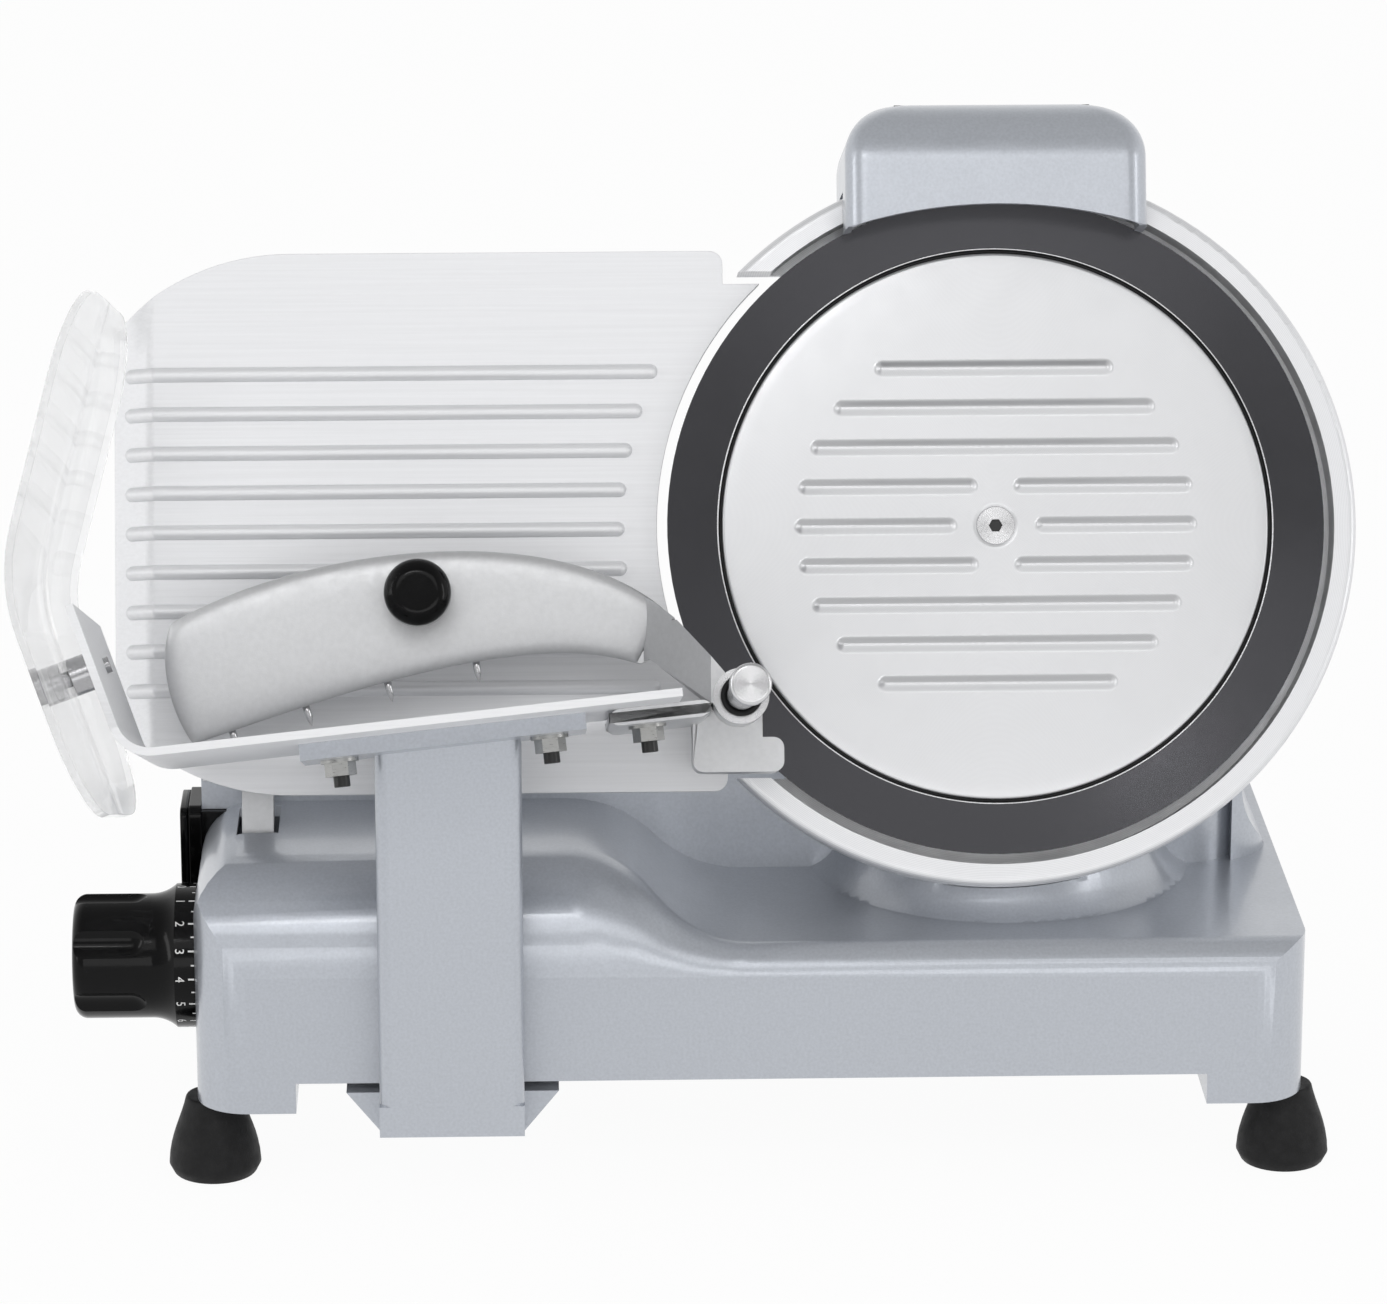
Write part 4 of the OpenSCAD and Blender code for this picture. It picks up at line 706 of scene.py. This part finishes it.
def press_lower(t):
    """Lower edge of the pusher's plate, from its free end to the rod."""
    return bezier((-203, -14), (-160, 0), (-80, 30), (-36, 14), t)


def press_upper(t):
    """Upper edge of the pusher's plate, from its free end to the rod."""
    return bezier((-211, 30), (-155, 62), (-50, 70), (-18, 23), t)


def press_end(t):
    """Free end of the pusher's plate, upwards."""
    return bezier((-203, -14), (-211, -3), (-216, 16), (-211, 30), t)


def eased(count):
    """Numbers from 0 to 1 that crowd at both ends."""
    return (1 - np.cos(np.linspace(0, math.pi, count))) / 2


class SLICER_OT_pusher(bpy.types.Operator):
    """Crowned face of the pusher and the spikes under its edge"""

    bl_idname = "slicer.pusher"
    bl_label = "Pusher Face"

    def execute(self, context):
        cast = NODES["pusher_arm"].data.materials[0]
        skin = add_piece("pusher_face", *self.face(), cast, "pusher", "cast_aluminium")
        wall = skin.modifiers.new("Wall", "SOLIDIFY")
        wall.thickness = 0.0006
        wall.offset = -1
        steel = metal_finish("bright_steel", (0.6, 0.6, 0.61), low=0.12, high=0.2)
        spikes = add_piece("edge_spikes", *self.spikes(), steel, "pusher", "stainless")
        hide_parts("pusher_spikes")
        return {"FINISHED"}

    def face(self):
        """Patch between the plate's four edges, raised by a rounded power of the distance to them."""
        crown, power, sunk = 0.0026, 5, 0.0002
        lower_end, upper_end = 0.985, 0.915
        s, v = eased(61), eased(31)
        low, high, end = press_lower(lower_end * s), press_upper(upper_end * s), press_end(v)
        right = low[-1] + (high[-1] - low[-1]) * v[:, None]
        s, v = s[:, None, None], v[None, :, None]
        flat = (1 - v) * low[:, None] + v * high[:, None] + (1 - s) * end[None] + s * right[None]
        flat -= (1 - s) * ((1 - v) * low[0] + v * high[0]) + s * ((1 - v) * low[-1] + v * high[-1])
        rise = ((1 - abs(2 * v - 1) ** power) * (1 - abs(2 * s - 1) ** (4 * power)))[..., 0]
        out = PRESS_FRONT - sunk + crown * np.maximum(rise, 0) ** 0.5
        points = in_blade(ROD_AT[0] + flat[..., 0], ROD_AT[1] + flat[..., 1], out)
        return points, grid_faces(*out.shape)[:, ::-1]

    def spikes(self):
        """Four short pins square to the lower edge, each a radius that narrows to a point."""
        at = np.array((0.10, 0.27, 0.44, 0.62))
        length = np.array((0.0062, 0.0082, 0.0082, 0.0082))
        radius = 0.0014 * np.array((0, 1, 1, 0.95, 0.62, 0.26, 0))
        depth = np.array((-0.25, -0.25, 0.3, 0.55, 0.75, 0.92, 1.0))
        behind, near = 0.0035, 0.01
        foot = press_lower(at)
        along = press_lower(at + near) - foot
        along /= np.linalg.norm(along, axis=1)[:, None]
        down = np.stack((along[:, 1], -along[:, 0]), 1)
        turn = full_turn(16)
        middle = foot[:, None] + down[:, None] * (length[:, None] * depth)[..., None]
        side = radius[None, :, None] * np.cos(turn)
        x = middle[..., 0, None] + side * along[:, 0, None, None]
        u = middle[..., 1, None] + side * along[:, 1, None, None]
        n = PRESS_FRONT - behind + np.broadcast_to(radius[None, :, None] * np.sin(turn), x.shape)
        points = in_blade(ROD_AT[0] + x, ROD_AT[1] + u, n)
        faces = grid_faces(len(depth), len(turn), wrap_columns=True)[:, ::-1]
        return join_shapes([(pin.reshape(-1, 3), faces) for pin in points])


def ring(at, radius, out, thick, steps):
    """Points and faces of a round ring about an axis along the blade's."""
    u, v = full_turn(steps)[:, None], full_turn(12)
    r = radius + thick * np.cos(v)
    points = in_blade(at[0] + r * np.cos(u), at[1] + r * np.sin(u), out + thick * np.sin(v))
    return points.reshape(-1, 3), grid_faces(steps, len(v), wrap_rows=True, wrap_columns=True)


class SLICER_OT_rings(bpy.types.Operator):
    """Seals of the pusher's rod, a black ring of painted shadow in the gap round the blade cover, and the
    blade's bright step
    """

    bl_idname = "slicer.rings"
    bl_label = "Seals and Lip"

    def execute(self, context):
        black = NODES["rubber_feet"].data.materials[0]
        bright = metal_finish("ground_lip", (0.7, 0.7, 0.71), low=0.2, high=0.3)
        thick, front, pitch = 0.0011, 0.0665, 2.1
        seals = join_shapes([ring(ROD_AT, 0.0066, front + k * pitch * thick, thick, 40) for k in range(2)])
        add_piece("rod_seals", *seals, black, "pusher_sleeve", "rubber")
        middle = (0.0, 0.0)
        # Painted shadow: a thin black ring, in the rubber finish, in the gap between the blade cover and
        # the blade
        gap_shade = ring(middle, radius=0.10475, out=-0.0029, thick=0.00055, steps=240)
        add_piece("cover_gap_shade", *gap_shade, black, "base", "rubber")
        lip = ring(middle, radius=0.10575, out=-0.00205, thick=0.0003, steps=240)
        add_piece("blade_lip", *lip, bright, "blade_disc", "blade_steel")
        return {"FINISHED"}


class SLICER_OT_plastics(bpy.types.Operator):
    """Black plastic, rubber, buttons and stones"""

    bl_idname = "slicer.plastics"
    bl_label = "Plastics and Rubber"

    def execute(self, context):
        moulded = (
            "thickness_dial", "pusher_knob", "guide_roller", "switch_housing",
            "grinding_button", "honing_button",
        )
        finish_nodes(plastic_finish("black_plastic", context.scene.slicer_finishes.plastic), *moulded)
        finish_nodes(plastic_finish("green_plastic", (0.03, 0.32, 0.09)), "start_button")
        finish_nodes(plastic_finish("red_plastic", (0.5, 0.02, 0.02)), "stop_button")
        finish_nodes(rubber_finish((0.011, 0.011, 0.0115)), "rubber_feet", "drive_belt", "cable_gland")
        finish_nodes(stone_finish("coarse_stone", (0.3, 0.2, 0.16)), "grinding_stone")
        finish_nodes(stone_finish("fine_stone", (0.5, 0.48, 0.44)), "honing_stone")
        for name in moulded:
            soften(name, 0.0006)
        for name in ("start_button", "stop_button", "rubber_feet", "cable_gland"):
            soften(name, 0.0008)
        return {"FINISHED"}


def guard_sheet(flare, bend, middle):
    """Middle surface of the guard: a straight run, an arc inwards and a straight run, carried along
    the blade's axis; it swings out in front of the stud and in behind it, by a power of the distance."""
    low, fold, upper, turn = -0.027, 0.060, 0.109, math.radians(34)
    near, far, stud, corner = 0.022, 0.148, 0.082, 0.034
    power = 1.4
    lower = fold - low - bend * math.tan(turn / 2)
    arc = bend * turn
    length = lower + arc + upper - bend * math.tan(turn / 2)
    round_end = corner * (1 - np.cos(np.linspace(0, math.pi / 2, 10)))
    straight = np.linspace(corner, length - corner, 30)[1:-1]
    s = np.concatenate((round_end, straight, length - round_end[::-1]))
    angle = np.clip((s - lower) / bend, 0, turn)
    past = np.maximum(s - lower - arc, 0)
    out = middle - bend * (1 - np.cos(angle)) - past * math.sin(turn)
    up = low + np.minimum(s, lower) + bend * np.sin(angle) + past * math.cos(turn)
    end = np.minimum(np.minimum(s, length - s), corner)
    inset = corner - np.sqrt(np.maximum(corner**2 - (corner - end) ** 2, 0))
    n = (near + inset)[:, None] + np.linspace(0, 1, 26) * (far - near - 2 * inset)[:, None]
    reach = np.where(n > stud, (n - stud) / (far - stud), (n - stud) / (stud - near))
    swing = flare * np.sign(reach) * np.abs(reach) ** power
    out = out[:, None] + swing * np.cos(angle)[:, None]
    up = up[:, None] + swing * np.sin(angle)[:, None]
    x = WALL_AT[0] - out * math.cos(WALL_LEAN) - up * math.sin(WALL_LEAN)
    u = WALL_AT[1] - out * math.sin(WALL_LEAN) + up * math.cos(WALL_LEAN)
    return in_blade(x, u, n), grid_faces(*n.shape)


class SLICER_OT_guard(bpy.types.Operator):
    """Clear hand guard"""

    bl_idname = "slicer.guard"
    bl_label = "Hand Guard"

    def execute(self, context):
        settings = context.scene.slicer_guard
        from_wall = 0.025
        points, faces = guard_sheet(settings.flare, settings.bend, from_wall + settings.sheet / 2)
        piece = add_piece("clear_guard", points, faces, clear_finish(), "carriage", "clear_plastic")
        thick = piece.modifiers.new("Sheet", "SOLIDIFY")
        thick.thickness = settings.sheet
        thick.offset = 0
        round_edges(piece, 0.0007, limit=50)
        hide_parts("hand_guard")
        return {"FINISHED"}


def hood_round(x, u, n):
    """Rounds the edges between the cover's front and its sides, which both curve in at the top."""
    skin = 1e-4
    above = [np.clip((u - HOOD_TOP) / r + 1, 0, 1) for r in (HOOD_SIDE_CURVE, HOOD_FRONT_CURVE)]
    side = HOOD_HALF - HOOD_SIDE_CURVE * (1 - np.sqrt(1 - above[0] ** 2))
    face = HOOD_FRONT - HOOD_FRONT_CURVE * (1 - np.sqrt(1 - above[1] ** 2))
    from_side, from_face = side - abs(x), face - n
    near, far = np.minimum(from_side, from_face), np.maximum(from_side, from_face)
    outer = (abs(near) < skin) & (far < HOOD_ROUND)
    turn = math.pi / 4 * (1 + (from_face - from_side) / HOOD_ROUND)
    new_x = np.sign(x) * (side - HOOD_ROUND + HOOD_ROUND * np.sin(turn))
    new_n = face - HOOD_ROUND + HOOD_ROUND * np.cos(turn)
    return np.where(outer, new_x, x), u, np.where(outer, new_n, n)


class SLICER_OT_hood(bpy.types.Operator):
    """Sharpener cover with its side edges rounded at the front"""

    bl_idname = "slicer.hood"
    bl_label = "Sharpener Cover"

    def execute(self, context):
        pitch, spare = 0.0012, 0.0005
        inner = HOOD_HALF - HOOD_SIDE_CURVE - HOOD_ROUND - spare
        rear = HOOD_FRONT - HOOD_FRONT_CURVE - HOOD_ROUND - spare
        across = np.arange(inner, HOOD_HALF, pitch)
        cuts = (
            (ALONG, np.concatenate((across, -across))),
            (OUT, np.arange(rear, HOOD_FRONT, pitch)),
        )
        piece = moved_copy("sharpener_cover", "sharpener_hood", "sharpener", cuts, hood_round)
        round_edges(piece, 0.0005, limit=40)
        return {"FINISHED"}


class SLICER_OT_switch_lip(bpy.types.Operator):
    """Raised lip round the two buttons"""

    bl_idname = "slicer.switch_lip"
    bl_label = "Switch Lip"

    def execute(self, context):
        low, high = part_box("switch_housing")
        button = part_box("stop_button")[0].x
        inset, corner, wall, proud, sunk = 0.0016, 0.003, 0.0007, 0.0004, -0.0006
        half = np.array(((high.y - low.y) / 2 - inset, (high.z - low.z) / 2 - inset))
        middle = np.array(((low.y + high.y) / 2, (low.z + high.z) / 2))
        turn = full_turn(48)
        circle = np.stack((np.cos(turn), np.sin(turn)), 1)
        centre = np.sign(np.round(circle, 6)) * (half - corner)
        # Section of the lip: out from the wall, over a round top and back, as (side, out)
        t = np.linspace(0, math.pi, 9)
        tall = low.x - button + proud
        side = np.concatenate(((wall,), wall * np.cos(t), (-wall,)))
        out = np.concatenate(((sunk,), tall - wall + wall * np.sin(t), (sunk,)))
        flat = middle + centre[:, None, :] + circle[:, None, :] * (corner + side)[None, :, None]
        points = np.empty((len(turn), len(side), 3))
        points[..., 0] = low.x - out
        points[..., 1:] = flat
        black = NODES["switch_housing"].data.materials[0]
        faces = grid_faces(*points.shape[:2], wrap_rows=True, wrap_columns=True)
        add_piece("switch_lip", points, faces[:, ::-1], black, "base", "black_plastic")
        return {"FINISHED"}


class SLICER_OT_fasteners(bpy.types.Operator):
    """Screws, nuts, rods and pins"""

    bl_idname = "slicer.fasteners"
    bl_label = "Fasteners and Rods"

    def execute(self, context):
        zinc = metal_finish("zinc_plate", (0.42, 0.42, 0.41), low=0.26, high=0.38)
        finish_nodes(
            zinc, "base_plate", "base_plate_screws", "foot_bolts", "motor_screws", "gauge_screws",
            "slider_screws", "tray_nuts",
        )
        steel = metal_finish("stainless_steel", (0.4, 0.4, 0.41), low=0.18, high=0.28)
        plain = ("ring_screws", "blade_screws", "pusher_rod", "guard_stud")
        finish_nodes(steel, *plain)
        rod = Vector(in_blade(ROD_AT[0], ROD_AT[1], 0.0))
        bright = {"colour": (0.62, 0.62, 0.63), "metallic": 1.0, "low": 0.2, "high": 0.26, "scale": 1500}
        finish_nodes(disc_finish("turned_cap", **bright, at=rod), "rod_end_cap", "pusher_bush")
        finish_nodes(disc_finish("turned_screw", **bright), "cover_plate_screw")
        # Black oxide of the tray bolts; the same dark finish is the painted shade plug in the cover
        # screw's socket
        dark = metal_finish("black_oxide_and_shade", (0.05, 0.05, 0.05), low=0.3, high=0.4)
        finish_nodes(dark, "tray_bolts")
        for name in (*plain, "rod_end_cap", "cover_plate_screw", "tray_nuts", "tray_bolts"):
            soften(name, 0.0003)
        polish("pusher_bush")
        self.socket(dark)
        return {"FINISHED"}

    def socket(self, material):
        """Painted shade in the socket of the blade cover's screw: a dark plug with six sides."""
        sides, radius, floor, top = 6, 0.0025, -0.0044, -0.0026
        turn = np.arange(sides) * 2 * math.pi / sides
        points = in_blade(radius * np.cos(turn), radius * np.sin(turn), np.array(((floor,), (top,))))
        faces = grid_faces(2, sides, wrap_columns=True)[:, ::-1].tolist()
        faces += [list(range(sides))[::-1], list(range(sides, 2 * sides))]
        add_piece("screw_socket_shade", points, faces, material, "base", "steel", smooth=False)


def figure_mesh(text, height):
    """Flat outline of a number, centred at the origin, as arrays of points and polygons."""
    curve = bpy.data.curves.new("figure", "FONT")
    curve.body = text
    capital = 0.7
    curve.size = height / capital
    holder = bpy.data.objects.new("figure", curve)
    bpy.context.scene.collection.objects.link(holder)
    bpy.context.view_layer.update()
    graph = bpy.context.evaluated_depsgraph_get()
    mesh = bpy.data.meshes.new_from_object(holder.evaluated_get(graph))
    flat = np.empty(len(mesh.vertices) * 3)
    mesh.vertices.foreach_get("co", flat)
    flat = flat.reshape(-1, 3)[:, :2]
    faces = [tuple(p.vertices) for p in mesh.polygons]
    bpy.data.objects.remove(holder)
    bpy.data.curves.remove(curve)
    bpy.data.meshes.remove(mesh)
    return flat - (flat.min(0) + flat.max(0)) / 2, faces


def tick(width, length):
    """Flat bar below the origin, as points and its one face."""
    corners = np.array(((-0.5, -1), (0.5, -1), (0.5, 0), (-0.5, 0)))
    return corners * (width, length), [(0, 1, 2, 3)]


class SLICER_OT_dial_print(bpy.types.Operator):
    """White numbers and ticks round the dial's skirt"""

    bl_idname = "slicer.dial_print"
    bl_label = "Dial Print"

    def execute(self, context):
        settings = context.scene.slicer_dial
        low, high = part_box("thickness_dial")
        wall = high.x
        centre = (low + high) / 2
        proud, figure_row = 0.00006, 0.0054
        radius = (high.z - low.z) / 2 + proud
        step = 2 * math.pi / settings.divisions
        long_tick = tick(width=0.0007, length=0.0023)
        short_tick = tick(width=0.0006, length=0.0012)

        def wrap(shape, turn, along):
            """Rolls a flat shape on the skirt: up runs to the base, right runs down the front."""
            flat, polygons = shape
            angle = turn + flat[:, 0] / radius
            rolled = np.stack((
                along + flat[:, 1],
                centre.y - radius * np.cos(angle),
                centre.z - radius * np.sin(angle),
            ), 1)
            return rolled, polygons

        shapes = []
        for number in range(settings.divisions):
            turn = number * step - math.pi / 2
            shapes += [
                wrap(figure_mesh(str(number), settings.figure), turn, wall - figure_row),
                wrap(long_tick, turn, wall),
                wrap(short_tick, turn + step / 2, wall),
            ]
        points, faces = join_shapes(shapes)
        add_piece("dial_numbers", points, faces, print_finish(), "dial", "black_plastic", smooth=False)
        return {"FINISHED"}


class SLICER_OT_stage(bpy.types.Operator):
    """Floor, light and camera"""

    bl_idname = "slicer.stage"
    bl_label = "Stage"

    def execute(self, context):
        scene = context.scene
        settings = scene.slicer_stage
        scene.view_settings.view_transform = "Standard"
        self.floor(settings.white)
        self.sky(scene, settings.sky)
        self.lamp("front", (-0.2, -2.0, 1.7), (2.2, 0.9), settings.key)
        self.lamp("low", (0.3, -2.6, 0.45), (2.2, 0.7), settings.key)
        self.lamp("left", (-2.2, -0.7, 0.8), (0.4, 1.4), settings.key * 0.7)
        self.lamp("right", (2.1, -1.0, 0.7), (0.4, 1.4), settings.key * 0.7)
        self.lamp("strip", (-0.3, -1.6, 1.6), (0.6, 0.12), settings.key * 0.3)
        self.camera(scene, settings.lens)
        return {"FINISHED"}

    def join(self, nodes, links, operation, first, second):
        """Output of two numbers taken together; the second alone where there is no first."""
        if first is None:
            return second
        both = nodes.new("ShaderNodeMath")
        both.operation = operation
        links.new(first, both.inputs[0])
        links.new(second, both.inputs[1])
        return both.outputs["Value"]

    def seen(self, nodes, links):
        """One for a ray from the camera, off gloss or through glass, and nought for soft light."""
        path = nodes.new("ShaderNodeLightPath")
        total = None
        for kind in ("Is Camera Ray", "Is Glossy Ray", "Is Transmission Ray"):
            total = self.join(nodes, links, "MAXIMUM", total, path.outputs[kind])
        return total

    def floor(self, white):
        """White floor that keeps a soft shadow near the feet."""
        size = 8.0
        points = np.array([(-1, -1, 0), (1, -1, 0), (1, 1, 0), (-1, 1, 0)], float) * size
        mesh = bpy.data.meshes.new("floor")
        mesh.from_pydata(points, [], [(0, 1, 2, 3)])
        floor = bpy.data.objects.new("floor", mesh)
        bpy.context.scene.collection.objects.link(floor)
        f = Finish("floor_white", Base_Color=(0.92, 0.92, 0.92, 1), Roughness=0.9)
        glow = f.add("Emission")
        share = f.add("Math", operation="MULTIPLY")
        share.inputs[1].default_value = white
        f.links.new(self.seen(f.nodes, f.links), share.inputs[0])
        mix = f.add("MixShader")
        f.links.new(share.outputs["Value"], mix.inputs["Fac"])
        f.links.new(f.shader.outputs["BSDF"], mix.inputs[1])
        f.links.new(glow.outputs["Emission"], mix.inputs[2])
        f.links.new(mix.outputs["Shader"], f.nodes["Material Output"].inputs["Surface"])
        mesh.materials.append(f.material)

    def sky(self, scene, strength):
        """Even light; a ray from the camera sees white, and gloss sees it dim in front and overhead."""
        world = bpy.data.worlds.new("studio")
        world.use_nodes = True
        scene.world = world
        nodes, links = world.node_tree.nodes, world.node_tree.links
        light = nodes["Background"]
        light.inputs["Color"].default_value = (1, 1, 1, 1)
        light.inputs["Strength"].default_value = strength
        white = nodes.new("ShaderNodeBackground")
        white.inputs["Color"].default_value = (1, 1, 1, 1)
        direction = nodes.new("ShaderNodeTexCoord")
        parts = nodes.new("ShaderNodeSeparateXYZ")
        links.new(direction.outputs["Generated"], parts.inputs["Vector"])
        level = None
        for axis, start, stop, low in (("Z", 0.35, 0.85, 0.5), ("Y", -0.2, -0.8, 0.6)):
            dim = nodes.new("ShaderNodeMapRange")
            dim.inputs["From Min"].default_value = start
            dim.inputs["From Max"].default_value = stop
            dim.inputs["To Min"].default_value = 1.0
            dim.inputs["To Max"].default_value = low
            links.new(parts.outputs[axis], dim.inputs["Value"])
            level = self.join(nodes, links, "MULTIPLY", level, dim.outputs["Result"])
        path = nodes.new("ShaderNodeLightPath")
        for kind in ("Is Camera Ray", "Is Transmission Ray"):
            level = self.join(nodes, links, "MAXIMUM", level, path.outputs[kind])
        links.new(level, white.inputs["Strength"])
        mix = nodes.new("ShaderNodeMixShader")
        links.new(self.seen(nodes, links), mix.inputs["Fac"])
        links.new(light.outputs["Background"], mix.inputs[1])
        links.new(white.outputs["Background"], mix.inputs[2])
        links.new(mix.outputs["Shader"], nodes["World Output"].inputs["Surface"])

    def lamp(self, name, at, size, power):
        """Broad lamp that looks at the machine's middle."""
        data = bpy.data.lights.new(name, "AREA")
        data.shape = "RECTANGLE"
        data.size, data.size_y = size
        data.energy = power
        lamp = bpy.data.objects.new(name, data)
        bpy.context.scene.collection.objects.link(lamp)
        middle = Vector((0, 0, 0.2))
        lamp.location = at
        lamp.rotation_euler = (middle - Vector(at)).to_track_quat("-Z", "Y").to_euler()

    def camera(self, scene, lens):
        """Camera as in the photograph: a little to the left, 17 degrees above the table."""
        data = bpy.data.cameras.new("camera")
        data.lens = lens
        data.sensor_width = 36
        data.sensor_fit = "HORIZONTAL"
        data.clip_end = 50
        camera = bpy.data.objects.new("camera", data)
        scene.collection.objects.link(camera)
        at = Vector((-0.0700, -2.1977, 0.8614))
        right = Vector((0.999534, -0.030539, 0))
        up = Vector((0.008929, 0.292236, 0.956305))
        view = Vector((0.029204, 0.955859, -0.292372))
        turn = Matrix((right, up, -view)).transposed()
        camera.matrix_world = Matrix.Translation(at) @ turn.to_4x4()
        scene.camera = camera


class SLICER_PT_panel(bpy.types.Panel):
    """Lists the steps that dress the slicer"""

    bl_idname = "SLICER_PT_panel"
    bl_label = "Food Slicer"
    bl_space_type = "VIEW_3D"
    bl_region_type = "UI"
    bl_category = "Slicer"

    def draw(self, context):
        for step in STEPS:
            self.layout.operator(step.bl_idname)
        for name, group in GROUPS.items():
            for setting in group.__annotations__:
                self.layout.prop(getattr(context.scene, name), setting)


# Settings on the scene, and the steps in the order they run
GROUPS = {
    "slicer_finishes": SlicerFinishes,
    "slicer_guard": SlicerGuard,
    "slicer_dial": SlicerDial,
    "slicer_stage": SlicerStage,
}
STEPS = (
    SLICER_OT_castings,
    SLICER_OT_plates,
    SLICER_OT_disc,
    SLICER_OT_blade,
    SLICER_OT_cast_pieces,
    SLICER_OT_pusher,
    SLICER_OT_plastics,
    SLICER_OT_rings,
    SLICER_OT_guard,
    SLICER_OT_hood,
    SLICER_OT_switch_lip,
    SLICER_OT_fasteners,
    SLICER_OT_dial_print,
    SLICER_OT_stage,
)
CLASSES = (*GROUPS.values(), *STEPS, SLICER_PT_panel)


def register():
    for cls in CLASSES:
        bpy.utils.register_class(cls)
    for name, group in GROUPS.items():
        setattr(bpy.types.Scene, name, PointerProperty(type=group))


def unregister():
    for name in GROUPS:
        delattr(bpy.types.Scene, name)
    for cls in reversed(CLASSES):
        bpy.utils.unregister_class(cls)


def main():
    register()
    for step in STEPS:
        category, name = step.bl_idname.split(".")
        getattr(getattr(bpy.ops, category), name)()
    bpy.context.view_layer.update()


if __name__ == "__main__":
    main()
